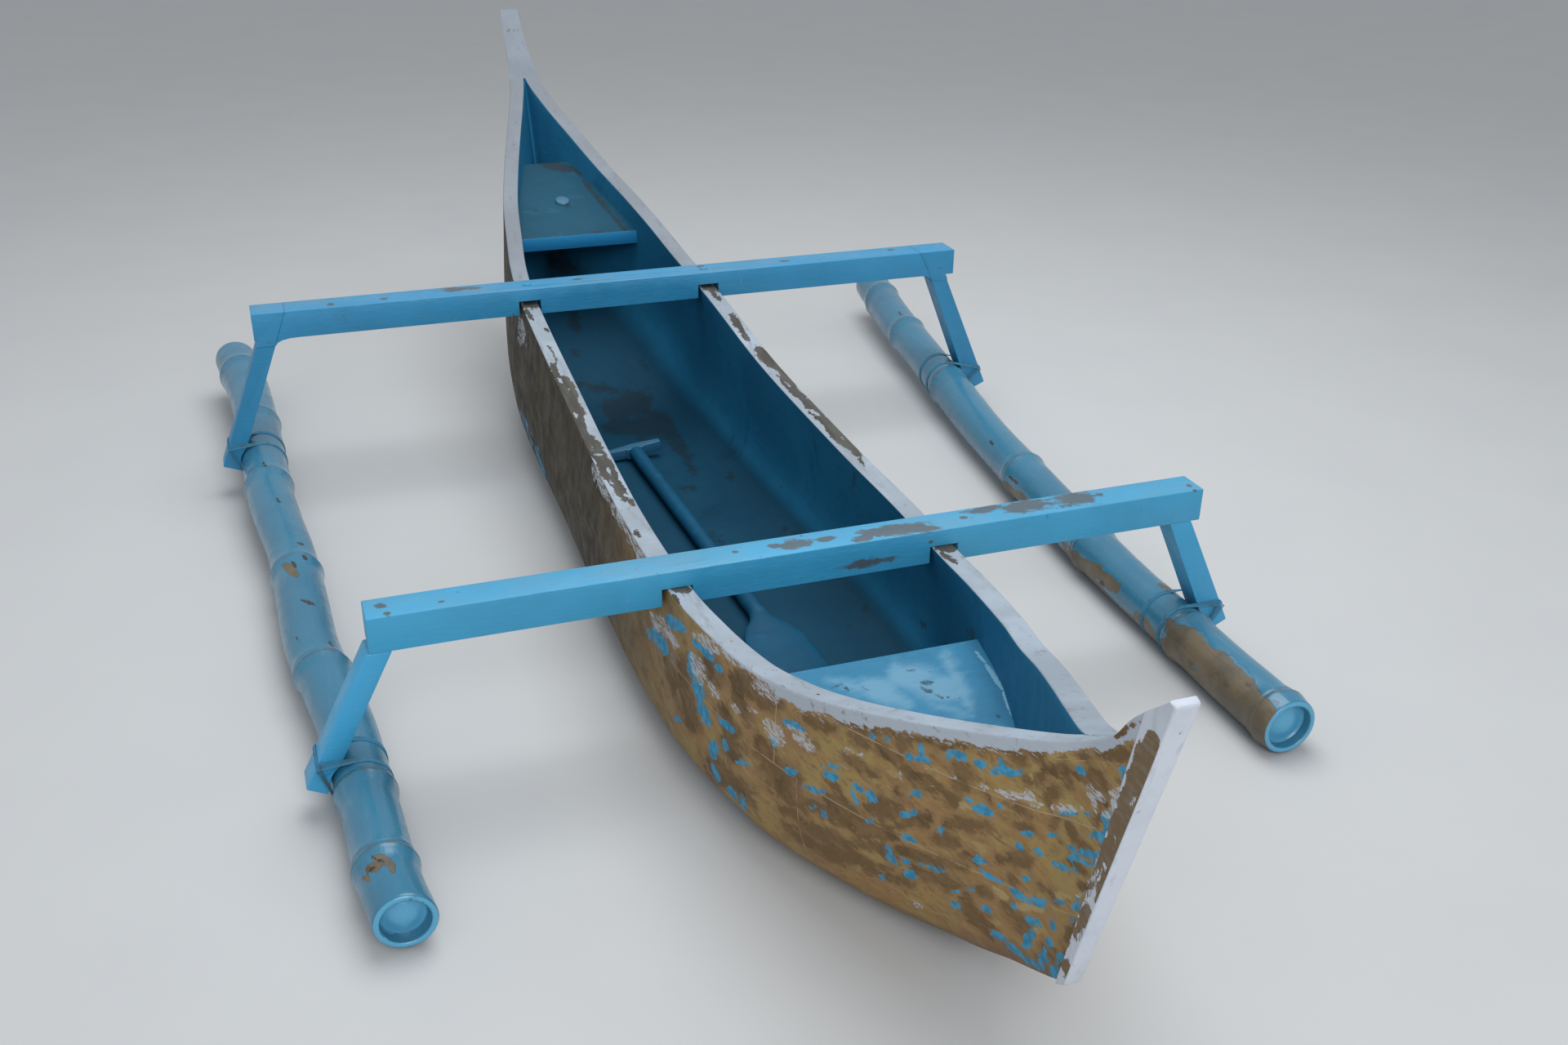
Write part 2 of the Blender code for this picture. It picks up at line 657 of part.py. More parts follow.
def make_pegs(rear_boom):
    """Round pegs down through the rear boom to each gunwale."""
    y = REAR_BOOM + REAR_DEPTH / 2
    seat = max(Station(REAR_BOOM).top, Station(REAR_BOOM + REAR_DEPTH).top)
    for label, side in SIDES.items():
        x = side * (Station(y).beam - WALL / 2)
        hole = disc(f"peg_hole_{label}", x, y, seat - 0.02, REAR_TOP + 0.02, PEG_RADIUS + GAP, "cord")
        join(rear_boom, hole, "DIFFERENCE")
        disc(f"rear_peg_{label}", x, y, seat + GAP, REAR_TOP + PEG_HEAD, PEG_RADIUS, "sky_blue")


def make_lashing(name, strut, side):
    """Cord turns round float and strut foot, fore and aft of the strut, and a bridge between."""
    tip = strut.foot - strut.down * LASHING_UP + strut.outward * GAP

    def loop(y, grow):
        centre = float_point(strut.label, y)
        edges = [y - LASHING_WIDE / 2, y, y + LASHING_WIDE / 2]
        widest = max((float_point(strut.label, e) - centre).length + float_radius(strut.label, e)
                     for e in edges)
        hold = (widest + LASHING_SLACK) / math.cos(math.pi / LASHING_SIDES)
        corners = [tip + strut.outward * grow + strut.down * (LASHING_WIDE / 2 * way) for way in (-1, 1)]
        turns = [2 * math.pi * k / LASHING_SIDES for k in range(LASHING_SIDES)]
        ring = [centre + Vector((math.cos(a), math.sin(a))) * (hold + grow) for a in turns]
        return even_loop(hull_2d(ring + corners), 28)

    def turn(label, low, high):
        rings = []
        y = (low + high) / 2
        for a, b in zip(loop(y, 0.0), loop(y, CORD)):
            rings.append([(side * a.x, low, a.y), (side * a.x, high, a.y),
                          (side * b.x, high, b.y), (side * b.x, low, b.y)])
        return band(label, rings, "cord")

    fore = turn(name, strut.y0 - GAP - LASHING_WIDE, strut.y0 - GAP)
    aft = turn(name + "_aft_turn", strut.y1 + GAP, strut.y1 + GAP + LASHING_WIDE)
    half = LASHING_WIDE / 2 - BRIDGE_INSET
    flat = [tip + strut.outward * lift + strut.down * half * way
            for lift, way in ((BRIDGE_INSET, -1), (BRIDGE_INSET, 1), (CORD - BRIDGE_INSET, 1),
                              (CORD - BRIDGE_INSET, -1))]
    bridge = prism_y(name + "_bridge", mirrored(flat, side), strut.y0 - LASHING_WIDE / 2,
                     strut.y1 + LASHING_WIDE / 2, "cord")
    for piece in (aft, bridge):
        join(fore, piece, "UNION")
    return fore


def even_loop(points, count):
    """Points shared evenly along a closed outline."""
    points = points + [points[0]]
    runs = [0.0]
    for a, b in zip(points, points[1:]):
        runs.append(runs[-1] + (b - a).length)
    result = []
    for k in range(count):
        want = runs[-1] * k / count
        i = max(j for j in range(len(points) - 1) if runs[j] <= want)
        result.append(points[i].lerp(points[i + 1], (want - runs[i]) / (runs[i + 1] - runs[i])))
    return result


def hull_2d(points):
    """Convex outline round (x, z) points."""
    points = sorted({(round(p[0], 7), round(p[1], 7)) for p in points})

    def half(seq):
        chain = []
        for p in seq:
            while len(chain) >= 2:
                (ax, ay), (bx, by) = chain[-2], chain[-1]
                if (bx - ax) * (p[1] - ay) - (by - ay) * (p[0] - ax) > 0:
                    break
                chain.pop()
            chain.append(p)
        return chain[:-1]

    return [Vector(p) for p in half(points) + half(points[::-1])]


def make_seat_plug():
    """Low round plug on the sloping stern seat."""
    x, y = PLUG_PLACE
    rise = (SEAT_AFT[1] - SEAT_FORE[1]) / (SEAT_AFT[0] - SEAT_FORE[0])
    base = SEAT_FORE[1] + rise * (y - SEAT_FORE[0]) + GAP
    rings = []
    for share, lift in ((1.0, 0.0), (0.9, 0.6), (0.5, 1.0)):
        ring = []
        for k in range(14):
            a = 2 * math.pi * k / 14
            dx, dy = PLUG_RADIUS * share * math.cos(a), PLUG_RADIUS * share * math.sin(a)
            ring.append((x + dx, y + dy, base + rise * dy + PLUG_HEIGHT * lift))
        rings.append(ring)
    return loft("seat_plug", rings, "deep_blue")


def paddle_x(y):
    return PADDLE_X + PADDLE_SKEW * y


def make_paddle():
    """Round shaft with a flat blade toward the bow, and a tilted crossbar with a square collar."""
    floor = KEEL_FLAT + GAP
    axis = floor + GRIP_LIFT
    profile = [
        (PADDLE_GRIP, SHAFT_RADIUS, SHAFT_RADIUS, axis),
        (PADDLE_BLADE + 0.03, SHAFT_RADIUS, SHAFT_RADIUS, floor + SHAFT_RADIUS),
        (PADDLE_BLADE, 0.024, 0.014, floor + 0.014),
        (PADDLE_BLADE - 0.03, 0.045, 0.012, floor + 0.012),
        (PADDLE_BLADE - 0.08, BLADE_HALF, 0.010, floor + 0.010),
        (PADDLE_TIP + 0.12, BLADE_HALF, 0.008, floor + 0.008),
        (PADDLE_TIP + 0.03, 0.046, 0.006, floor + 0.006),
        (PADDLE_TIP, 0.026, 0.004, floor + 0.004),
    ]
    rings = []
    for y, wide, thick, height in profile:
        turns = [2 * math.pi * k / 12 for k in range(12)]
        rings.append([(paddle_x(y) + wide * math.cos(a), y, height + thick * math.sin(a)) for a in turns])
    loft("paddle", rings, "sky_blue")

    x, y0 = paddle_x(PADDLE_GRIP), PADDLE_GRIP + GAP
    grip = [(-COLLAR_HALF, 0.0), (COLLAR_HALF, 0.0), (COLLAR_HALF, 0.006), (GRIP_HALF, 0.008),
            (GRIP_HALF, GRIP_DEEP - 0.002), (0.0, GRIP_DEEP + 0.004), (-GRIP_HALF, GRIP_DEEP - 0.002),
            (-GRIP_HALF, 0.008), (-COLLAR_HALF, 0.006)]
    rings = []
    for way in (-1, 1):
        lift = way * GRIP_THICK / 2
        rings.append([(x + a * math.cos(PADDLE_TILT) - lift * math.sin(PADDLE_TILT), y0 + b,
                       axis + a * math.sin(PADDLE_TILT) + lift * math.cos(PADDLE_TILT)) for a, b in grip])
    loft("paddle_grip", rings, "sky_blue")


def main():
    clear_scene()
    stations = hull_stations()
    make_hull(stations)
    make_stem()
    make_stern_post()
    make_front_boom()
    rear_boom, rear_struts = make_rear_frame()
    make_pegs(rear_boom)
    for label, side in SIDES.items():
        make_float(label, side)
        make_lashing(f"front_lashing_{label}", make_front_strut(label, side), side)
    for strut in rear_struts:
        make_lashing(f"rear_lashing_{strut.label}", strut, SIDES[strut.label])
    panel("bow_bench", stations, BENCH_FORE, BENCH_AFT, BENCH_THICK, "deep_blue")
    panel("stern_seat", stations, SEAT_FORE, SEAT_AFT, SEAT_THICK, "deep_blue")
    make_seat_plug()
    make_paddle()


main()
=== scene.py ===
# Looks of the outrigger canoe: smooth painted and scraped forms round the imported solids.
# Metres, +Z up. The bow points to -Y, port is +X, and Z = 0 is the floor under the keel.
import math

import bmesh
import bpy
import numpy as np
from mathutils import Matrix, Vector


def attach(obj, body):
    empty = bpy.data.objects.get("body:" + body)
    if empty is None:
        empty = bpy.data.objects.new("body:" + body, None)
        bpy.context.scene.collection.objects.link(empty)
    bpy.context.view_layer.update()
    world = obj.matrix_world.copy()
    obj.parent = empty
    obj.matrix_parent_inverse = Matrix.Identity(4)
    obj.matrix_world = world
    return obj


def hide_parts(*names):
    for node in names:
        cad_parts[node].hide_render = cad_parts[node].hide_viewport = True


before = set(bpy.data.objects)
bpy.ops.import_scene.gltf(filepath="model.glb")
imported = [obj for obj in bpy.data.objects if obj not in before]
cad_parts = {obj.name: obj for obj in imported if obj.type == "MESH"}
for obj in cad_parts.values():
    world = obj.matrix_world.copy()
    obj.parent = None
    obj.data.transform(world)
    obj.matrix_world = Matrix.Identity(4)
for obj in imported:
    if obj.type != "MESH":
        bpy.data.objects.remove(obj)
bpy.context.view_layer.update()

SIDES = {"port": 1, "starboard": -1}

# Hull lines, as in the solids: (Y at the gunwale, value) stations joined by a smooth curve.
HALF_BEAM = [
    (-1.745, 0.015), (-1.62, 0.021), (-1.56, 0.042), (-1.44, 0.091), (-1.34, 0.131),
    (-1.24, 0.167), (-1.14, 0.195), (-1.04, 0.220), (-0.89, 0.239), (-0.74, 0.249),
    (-0.55, 0.253), (-0.19, 0.246), (0.11, 0.237), (0.41, 0.233), (0.56, 0.229),
    (0.71, 0.218), (0.86, 0.198), (1.01, 0.175), (1.16, 0.143), (1.31, 0.105),
    (1.46, 0.064), (1.55, 0.042), (1.62, 0.033), (1.74, 0.023),
]
SHEER = [
    (-1.70, 0.630), (-1.672, 0.600), (-1.650, 0.568), (-1.60, 0.530), (-1.56, 0.507),
    (-1.44, 0.456), (-1.34, 0.418), (-1.24, 0.383),
    (-1.14, 0.353), (-1.04, 0.334), (-0.89, 0.318), (-0.74, 0.3075), (-0.45, 0.3075),
    (-0.19, 0.316), (0.11, 0.336), (0.41, 0.370), (0.56, 0.388), (0.71, 0.411),
    (0.86, 0.450), (1.01, 0.487), (1.16, 0.530), (1.31, 0.587), (1.46, 0.650),
    (1.56, 0.700), (1.62, 0.745), (1.74, 0.860),
]
KEEL = [
    (-1.62, 0.190), (-1.595, 0.171), (-1.475, 0.101), (-1.365, 0.042), (-1.25, 0.010),
    (-1.10, 0.0), (0.55, 0.0), (0.85, 0.055), (1.10, 0.165), (1.30, 0.275), (1.46, 0.385),
    (1.56, 0.470),
]
FLOOR = [
    (-1.745, 0.225), (-1.55, 0.150), (-1.40, 0.085), (-1.25, 0.050), (-1.10, 0.038),
    (0.58, 0.038), (0.85, 0.115), (1.17, 0.280), (1.40, 0.410), (1.60, 0.560),
]
FULLNESS = [
    (-1.745, 1.3), (-1.56, 1.6), (-1.40, 2.2), (-1.20, 3.6), (-1.00, 5.0), (-0.70, 6.0),
    (0.30, 6.0), (0.80, 4.2), (1.20, 2.6), (1.50, 1.8),
]
BELLY = [
    (-1.20, 0.0), (-1.00, 0.010), (-0.80, 0.025), (-0.55, 0.030), (0.20, 0.028), (0.70, 0.029),
    (0.88, 0.027), (1.02, 0.016), (1.16, 0.006), (1.30, 0.0),
]
WALL = 0.038
# Slope of the cross-sections, with the Y where each slant starts and the length it grows over.
BOW_RAKE, BOW_RAKE_FROM, BOW_RAKE_OVER = 0.236, -1.0, 0.55
STERN_RAKE, STERN_RAKE_FROM, STERN_RAKE_OVER = -0.35, 0.7, 0.8
BOW_JOINT = -1.694
STERN_JOINT = 1.56
# Passes that settle a slanted section, and samples round its side.
KEEL_PASSES, GUNWALE_PASSES = 8, 12
PROFILE_SHARE, PROFILE_SAMPLES = 0.94, 160

# Putty lines along the planks, as heights at each station.
SEAM_A = [
    (-1.694, 0.290), (-1.60, 0.254), (-1.50, 0.237), (-1.40, 0.228), (-1.27, 0.223), (-1.13, 0.213),
    (-0.93, 0.209), (-0.40, 0.202), (0.30, 0.215), (0.60, 0.250), (0.90, 0.330), (1.20, 0.440),
    (1.56, 0.650),
]
SEAM_B = [(-1.694, 0.440), (-1.55, 0.392), (-1.44, 0.377), (-1.33, 0.367), (-1.24, 0.358), (-1.10, 0.347)]
SEAM_B_END = (-1.132, -1.125)
SEAM_HALF, CHEEK_HALF = 0.0009, 0.0022
UPPER_BUTT, LOWER_BUTT, CHEEK_BUTT = -1.118, -1.170, -1.240

# White band under the gunwale: how far down it reaches at each station.
BAND = [
    (-1.694, 0.040), (-1.65, 0.024), (-1.60, 0.015), (-1.55, 0.018), (-1.50, 0.022), (-1.40, 0.017),
    (-1.30, 0.021), (-1.20, 0.021), (-1.12, 0.019), (-1.09, 0.008), (-1.00, 0.003), (-0.90, -0.002),
    (-0.70, -0.020),
]

# Posts: matching (half-width, Y, Z) points on the joint with the planks and on the outer face.
POST_MIN_HALF = 0.012
STEM_FACE = ((0.012, -1.606, 0.180), (0.015, -1.741, 0.656))
STEM_HEAD = [(0.0165, -1.712, 0.640), (0.0155, -1.731, 0.6575)]
STEM_LEVELS, STERN_LEVELS = 9, 7
# The toe's Y and Z count from the lowest point of the stern joint.
STERN_TOE = (0.012, 0.030, -0.002)
STERN_HEEL = (0.020, 1.632, 0.615)
HORN = [
    ((0.033, 1.620, 0.745), (0.020, 1.662, 0.672)),
    ((0.028, 1.680, 0.798), (0.020, 1.704, 0.740)),
    ((0.0235, 1.735, 0.862), (0.019, 1.742, 0.820)),
]

# Bamboo floats, as in the solids.
FLOAT_ACROSS = {
    "port": [
        (-1.085, 0.7225), (-0.92, 0.7240), (-0.80, 0.7285), (-0.69, 0.7320), (-0.60, 0.7335), (-0.45, 0.7405),
        (-0.30, 0.7530), (-0.10, 0.7705), (0.10, 0.7885), (0.25, 0.8055), (0.40, 0.8270), (0.60, 0.8537),
        (0.75, 0.8739), (0.93, 0.8967), (1.13, 0.9308), (1.27, 0.9560),
    ],
    "starboard": [
        (-1.085, 0.7255), (-0.98, 0.7380), (-0.83, 0.7437), (-0.58, 0.7570), (-0.45, 0.7725), (-0.28, 0.7920),
        (-0.17, 0.7945), (-0.05, 0.7965), (0.07, 0.8017), (0.21, 0.8153), (0.35, 0.8257), (0.60, 0.8300),
        (0.85, 0.8374), (1.05, 0.8520), (1.17, 0.8640),
    ],
}
FLOAT_GIRTH = {
    "port": [
        (-1.085, 0.0500), (-0.85, 0.0483), (-0.60, 0.0462), (-0.45, 0.0478), (-0.10, 0.0490), (0.10, 0.0468),
        (0.40, 0.0495), (0.60, 0.0480), (0.93, 0.0490), (1.27, 0.0485),
    ],
    "starboard": [
        (-1.085, 0.0455), (-0.83, 0.0445), (-0.58, 0.0468), (-0.20, 0.0472), (0.07, 0.0452), (0.30, 0.0475),
        (0.85, 0.0482), (1.05, 0.0505), (1.17, 0.0500),
    ],
}
FLOAT_NODES = {
    "port": [-1.052, -0.775, -0.41, -0.05, 0.475, 0.84, 1.12],
    "starboard": [-0.965, -0.775, -0.405, -0.03, 0.38, 0.72, 1.05],
}
FLOAT_HEIGHT = {
    "port": [(-1.20, 0.0540), (-0.70, 0.0545), (0.0, 0.0640), (0.55, 0.0780), (1.30, 0.1020)],
    "starboard": [(-1.20, 0.0505), (-0.70, 0.0520), (0.0, 0.0630), (0.55, 0.0780), (1.30, 0.1020)],
}
NODE_SWELL, NODE_REACH = 0.004, 0.020
RING_RISE, RING_REACH = 0.0010, 0.004
GROOVE_DEPTH, GROOVE_AFT = 0.0016, 0.009
GRIME_AFT, GRIME_REACH = 0.004, 0.012
FLOAT_SIDES = 96
CULM_INSET, CULM_ROWS = 0.006, 360
NODE_ZONE, NODE_ROWS = 0.03, 31
# Ends of the culms: wall as shares of the recess and of the hole, then the lips in metres.
END_RIM = 0.011
END_RECESS = 0.020
END_WALL = [(0.55, 0.04), (0.60, 0.35), (0.80, 0.62), (1.0, 0.80), (1.0, 0.93), (0.86, 1.0)]
INNER_LIP = [(0.003, 0.0005), (0.0006, 0.0025), (0.0, 0.005)]
OUTER_LIP = [(0.0, 0.005), (0.0008, 0.002), (0.003, 0.0004)]

# Paint marks as strokes in the photograph's pixels: (x0, y0, x1, y1, half-width). The camera lays
# them on the boat, and the hull's port side gets the starboard side's marks, mirrored and shifted.
PORT_SHIFT = (-46.0, 9.0)
BROWN_STROKES = [
    (1240, 915, 1250, 928, 12), (1258, 916, 1272, 926, 8), (1187, 909, 1210, 917, 6),
    (1100, 902, 1105, 915, 8), (1130, 906, 1175, 912, 9), (1145, 915, 1144, 934, 4),
    (1176, 908, 1190, 917, 6), (1200, 916, 1210, 923, 6), (1281, 941, 1320, 950, 6),
    (1277, 945, 1275, 958, 5), (1310, 950, 1311, 962, 4), (1334, 945, 1350, 963, 8),
    (1346, 922, 1380, 925, 9), (1325, 923, 1332, 930, 4), (1289, 966, 1291, 976, 3),
    (1256, 955, 1258, 958, 3), (1281, 975, 1288, 995, 2), (1346, 976, 1352, 985, 4),
    (1296, 1002, 1290, 1014, 7), (1240, 1010, 1264, 1015, 7), (1232, 983, 1262, 1003, 4),
    (1215, 985, 1230, 998, 3), (1305, 1010, 1315, 1025, 3), (1315, 1030, 1336, 1042, 3),
    (1344, 1000, 1344, 1012, 4), (1162, 1008, 1208, 1012, 8), (1100, 1010, 1134, 1004, 8),
    (1068, 985, 1094, 996, 9), (1098, 1040, 1150, 1060, 10), (1050, 1010, 1096, 1024, 10),
    (1122, 1066, 1144, 1076, 8), (1170, 937, 1186, 947, 8), (1076, 916, 1100, 935, 8),
    (1100, 936, 1116, 950, 7), (1120, 951, 1144, 965, 8), (1165, 975, 1170, 985, 4),
    (1170, 956, 1180, 964, 6), (1150, 1027, 1170, 1032, 7), (1242, 1050, 1260, 1055, 9),
    (1222, 1052, 1236, 1054, 4), (1204, 1088, 1214, 1098, 6), (1226, 1106, 1256, 1138, 7),
    (1236, 1079, 1244, 1085, 4), (1322, 1084, 1332, 1088, 6), (1306, 1054, 1334, 1072, 4),
    (1290, 1035, 1296, 1042, 3), (1180, 1048, 1196, 1056, 4), (925, 848, 950, 862, 9),
    (985, 880, 1020, 893, 8), (1045, 886, 1062, 893, 8), (1076, 892, 1106, 899, 7),
    (930, 922, 976, 958, 12), (935, 938, 982, 986, 14), (986, 982, 1042, 1008, 10),
    (1060, 986, 1096, 1000, 8), (1032, 926, 1074, 950, 5), (1012, 978, 1044, 996, 8),
    (900, 842, 915, 880, 9), (880, 868, 900, 900, 9), (1284, 1090, 1292, 1106, 3),
    (1262, 1074, 1280, 1092, 3), (1278, 1160, 1290, 1176, 3), (1150, 1050, 1180, 1066, 4),
    (1316, 1130, 1306, 1150, 3), (1190, 1120, 1220, 1140, 6), (1204, 966, 1216, 984, 3),
    (1224, 996, 1240, 1012, 3), (862, 806, 880, 838, 8), (834, 806, 840, 840, 6), (868, 930, 890, 960, 10),
    (835, 850, 850, 892, 9), (905, 828, 935, 862, 12), (938, 934, 966, 975, 12), (925, 905, 946, 930, 9),
    (888, 905, 905, 930, 8), (815, 802, 826, 850, 6), (890, 950, 920, 985, 9), (1000, 1016, 1040, 1040, 10),
    (960, 990, 1000, 1020, 9), (1012, 955, 1030, 968, 4), (1040, 900, 1062, 915, 6),
    (1150, 1076, 1180, 1086, 7), (1096, 966, 1104, 990, 3), (1016, 872, 1044, 882, 6),
    (1040, 880, 1090, 894, 8), (1088, 896, 1130, 906, 7), (1120, 904, 1185, 912, 7),
    (1186, 910, 1246, 921, 7), (1044, 1030, 1100, 1050, 9), (1046, 1048, 1090, 1066, 8),
    (1060, 1064, 1120, 1084, 7), (1180, 1092, 1196, 1128, 8), (1200, 1120, 1216, 1150, 6),
    (1344, 918, 1386, 924, 8), (1000, 1040, 1046, 1056, 8), (960, 1010, 1000, 1036, 8),
    (1288, 1000, 1300, 1030, 3),
]
WIPE_STROKES = [(1366, 902, 1378, 893, 5), (1382, 889, 1396, 885, 2)]
BLUE_STROKES = [
    (1218, 943, 1244, 946, 6.5), (1224, 931, 1228, 942, 4.5), (1236, 943, 1249, 945, 3.5),
    (1193, 933, 1206, 937, 3), (1320, 940, 1326, 943, 3.5), (1372, 943, 1385, 943, 3.5),
    (1375, 947, 1380, 957, 4.5), (1184, 980, 1190, 983, 2.5), (1192, 987, 1213, 997, 5),
    (1222, 987, 1231, 987, 1.8), (1296, 995, 1334, 998, 2), (1352, 1001, 1360, 1003, 4),
    (1356, 1008, 1352, 1028, 3.5), (1337, 1021, 1350, 1024, 3.2), (1250, 1021, 1262, 1023, 1.8),
    (1283, 1023, 1296, 1021, 1.8), (1245, 1037, 1251, 1038, 1.5), (1309, 1037, 1316, 1040, 2.6),
    (1318, 1042, 1344, 1051, 2.2), (1312, 1049, 1325, 1053, 2.6), (1325, 1055, 1339, 1062, 2.5),
    (1345, 1047, 1342, 1055, 3), (1195, 1052, 1208, 1056, 3.6), (1270, 1042, 1279, 1047, 2.2),
    (1291, 1055, 1293, 1060, 2.2), (1298, 1060, 1317, 1070, 2.2), (1254, 1075, 1265, 1077, 3),
    (1168, 1093, 1190, 1090, 1.8), (1168, 1106, 1174, 1110, 3.2), (1199, 1111, 1217, 1115, 3.2),
    (1200, 1068, 1232, 1085, 2.2), (1236, 1089, 1257, 1101, 4.6), (1258, 1102, 1281, 1108, 4.6),
    (1239, 1108, 1243, 1113, 2.2), (1259, 1126, 1274, 1132, 3.6), (1268, 1101, 1280, 1103, 3.2),
    (1289, 1129, 1290, 1136, 3), (1292, 1103, 1311, 1107, 1.4), (1312, 1108, 1319, 1115, 3.2),
    (1312, 1124, 1313, 1128, 2.2), (1318, 1101, 1320, 1104, 2), (1263, 1140, 1266, 1146, 2.2),
    (1256, 1150, 1261, 1151, 2.6), (1254, 1158, 1261, 1158, 2.6), (1283, 1152, 1284, 1156, 2.2),
    (1215, 1142, 1229, 1151, 2.6), (1232, 1157, 1250, 1169, 2.8), (1250, 1170, 1277, 1187, 2.8),
    (1276, 1171, 1280, 1177, 4), (1278, 1164, 1279, 1168, 2.6), (1289, 1185, 1293, 1194, 4.2),
    (1298, 1171, 1296, 1179, 2.2), (1106, 1025, 1124, 1031, 2.8), (1150, 1016, 1152, 1018, 2.2),
    (1086, 1036, 1091, 1041, 2.6), (1091, 1049, 1097, 1054, 3.6), (1103, 1051, 1111, 1054, 3.6),
    (1126, 1057, 1155, 1068, 1.4), (1111, 1070, 1121, 1074, 2.2), (1079, 1072, 1082, 1076, 2.2),
    (1106, 998, 1121, 996, 2.6), (1115, 974, 1127, 971, 1.8), (1066, 976, 1068, 980, 2.6),
    (1112, 924, 1116, 927, 3.4), (1123, 928, 1137, 934, 3.2), (1126, 914, 1127, 925, 1.8),
    (1163, 922, 1180, 928, 3.6), (1160, 926, 1160, 930, 2), (1085, 905, 1086, 907, 2.2),
    (1066, 902, 1068, 903, 2), (962, 885, 982, 893, 3.6), (945, 904, 950, 910, 3.0),
    (905, 932, 917, 938, 3.6), (963, 942, 973, 948, 3.2), (985, 962, 1008, 972, 2.8),
    (1012, 938, 1025, 940, 2.2), (1012, 949, 1028, 952, 4.6), (1043, 960, 1055, 968, 2.8),
    (1042, 968, 1050, 985, 2.2), (1063, 972, 1070, 980, 3.6), (995, 987, 998, 989, 1.8),
    (1008, 995, 1010, 998, 2.2), (1060, 1005, 1068, 1006, 1.8), (798, 772, 815, 798, 5.5),
    (820, 758, 836, 770, 5.0), (850, 785, 870, 805, 4.5), (846, 800, 850, 830, 2.8),
    (850, 835, 860, 860, 3.6), (858, 862, 866, 885, 5.5), (880, 882, 898, 895, 3.2),
    (873, 910, 874, 926, 2.8), (886, 908, 890, 918, 2.2), (872, 940, 880, 955, 2.2),
    (893, 965, 900, 978, 2.6), (829, 879, 831, 883, 2), (908, 975, 912, 990, 1.6),
    (1181, 926, 1183, 929, 2), (640, 505, 652, 545, 0.2), (656, 548, 668, 590, 0.2),
    (820, 800, 824, 812, 1.6), (876, 816, 884, 820, 1.6),
]
WHITE_STROKES = [
    (1197, 962, 1212, 968, 2.2), (1220, 969, 1260, 978, 3.6), (1256, 970, 1266, 985, 4.5),
    (1262, 984, 1276, 986, 1.8), (1291, 989, 1324, 992, 3.4), (1333, 966, 1341, 984, 2.4),
    (1343, 971, 1350, 980, 1), (1364, 970, 1373, 972, 5.5), (1367, 976, 1365, 988, 3.4),
    (1353, 996, 1361, 999, 2), (1130, 938, 1135, 942, 1.6), (1160, 952, 1170, 953, 1.2),
    (940, 885, 957, 910, 7.5), (975, 902, 995, 920, 5.5), (965, 890, 985, 898, 1.2),
    (915, 862, 924, 872, 2.6), (925, 836, 950, 858, 5.5), (850, 804, 860, 832, 6.5),
    (852, 778, 880, 798, 5.0), (820, 780, 830, 792, 3), (868, 838, 878, 854, 3.6),
    (895, 862, 903, 873, 2.6), (800, 754, 815, 776, 6), (955, 846, 1000, 868, 2.2),
    (882, 794, 900, 812, 2.2), (1036, 918, 1054, 924, 1.2), (1002, 880, 1010, 886, 1.4),
    (1337, 984, 1343, 996, 1), (1320, 1119, 1322, 1122, 1.2), (1352, 1044, 1344, 1058, 2.2),
    (1332, 1084, 1340, 1064, 2), (636, 388, 640, 420, 3.0), (728, 572, 742, 606, 3.0),
    (745, 610, 770, 655, 3.2), (770, 655, 788, 685, 2.6), (1102, 946, 1103, 955, 1.0),
    (1320, 1098, 1330, 1092, 1.6), (1116, 1106, 1128, 1110, 0.9),
]
CREAM_STROKES = [
    (1246, 1109, 1275, 1114, 5), (1266, 1138, 1275, 1141, 3), (1214, 1128, 1224, 1132, 3),
    (1170, 984, 1188, 990, 6), (1085, 944, 1097, 950, 4), (1290, 1095, 1310, 1100, 5),
    (1216, 1085, 1232, 1100, 5), (1262, 948, 1264, 960, 3),
]
BARE_RIM_STROKES = [
    (672, 425, 680, 445, 4), (676, 445, 684, 470, 5), (690, 468, 700, 495, 12), (700, 495, 712, 520, 11),
    (716, 535, 736, 560, 10), (735, 560, 752, 590, 10), (752, 590, 766, 610, 7), (770, 612, 776, 618, 3.5),
    (778, 650, 783, 657, 3.5), (896, 386, 905, 400, 5), (905, 400, 916, 416, 4), (928, 428, 950, 450, 7),
    (950, 450, 985, 490, 7), (985, 490, 1010, 515, 7), (1010, 515, 1040, 545, 9), (1040, 545, 1053, 558, 5),
    (1050, 560, 1058, 570, 2), (668, 402, 671, 406, 2), (1000, 850, 1002, 851, 1), (706, 520, 716, 535, 8),
    (642, 372, 660, 374, 5), (642, 376, 652, 392, 3), (862, 352, 880, 354, 5), (870, 356, 882, 368, 2.5),
    (1148, 670, 1168, 672, 6), (1150, 676, 1172, 690, 3), (822, 722, 846, 722, 5), (824, 728, 834, 746, 3),
]
RIM_FLAKE_STROKES = [
    (668, 425, 678, 443, 3.5), (688, 447, 698, 455, 4), (684, 464, 688, 468, 2.2),
    (696, 476, 697, 478, 1.4), (703, 506, 707, 511, 2.2), (717, 509, 727, 528, 4),
    (725, 556, 738, 557, 1.4), (744, 573, 747, 581, 2.2), (747, 588, 750, 594, 1.6),
    (741, 593, 744, 597, 1.4), (765, 606, 770, 608, 2.2), (724, 546, 728, 556, 1.2),
    (885, 386, 892, 390, 2), (912, 403, 924, 417, 2.2), (920, 429, 926, 433, 1.8),
    (946, 452, 955, 460, 1.6), (976, 471, 984, 481, 2.6), (989, 501, 1004, 509, 2),
    (1031, 536, 1033, 538, 1.4), (960, 466, 968, 474, 1.2),
]
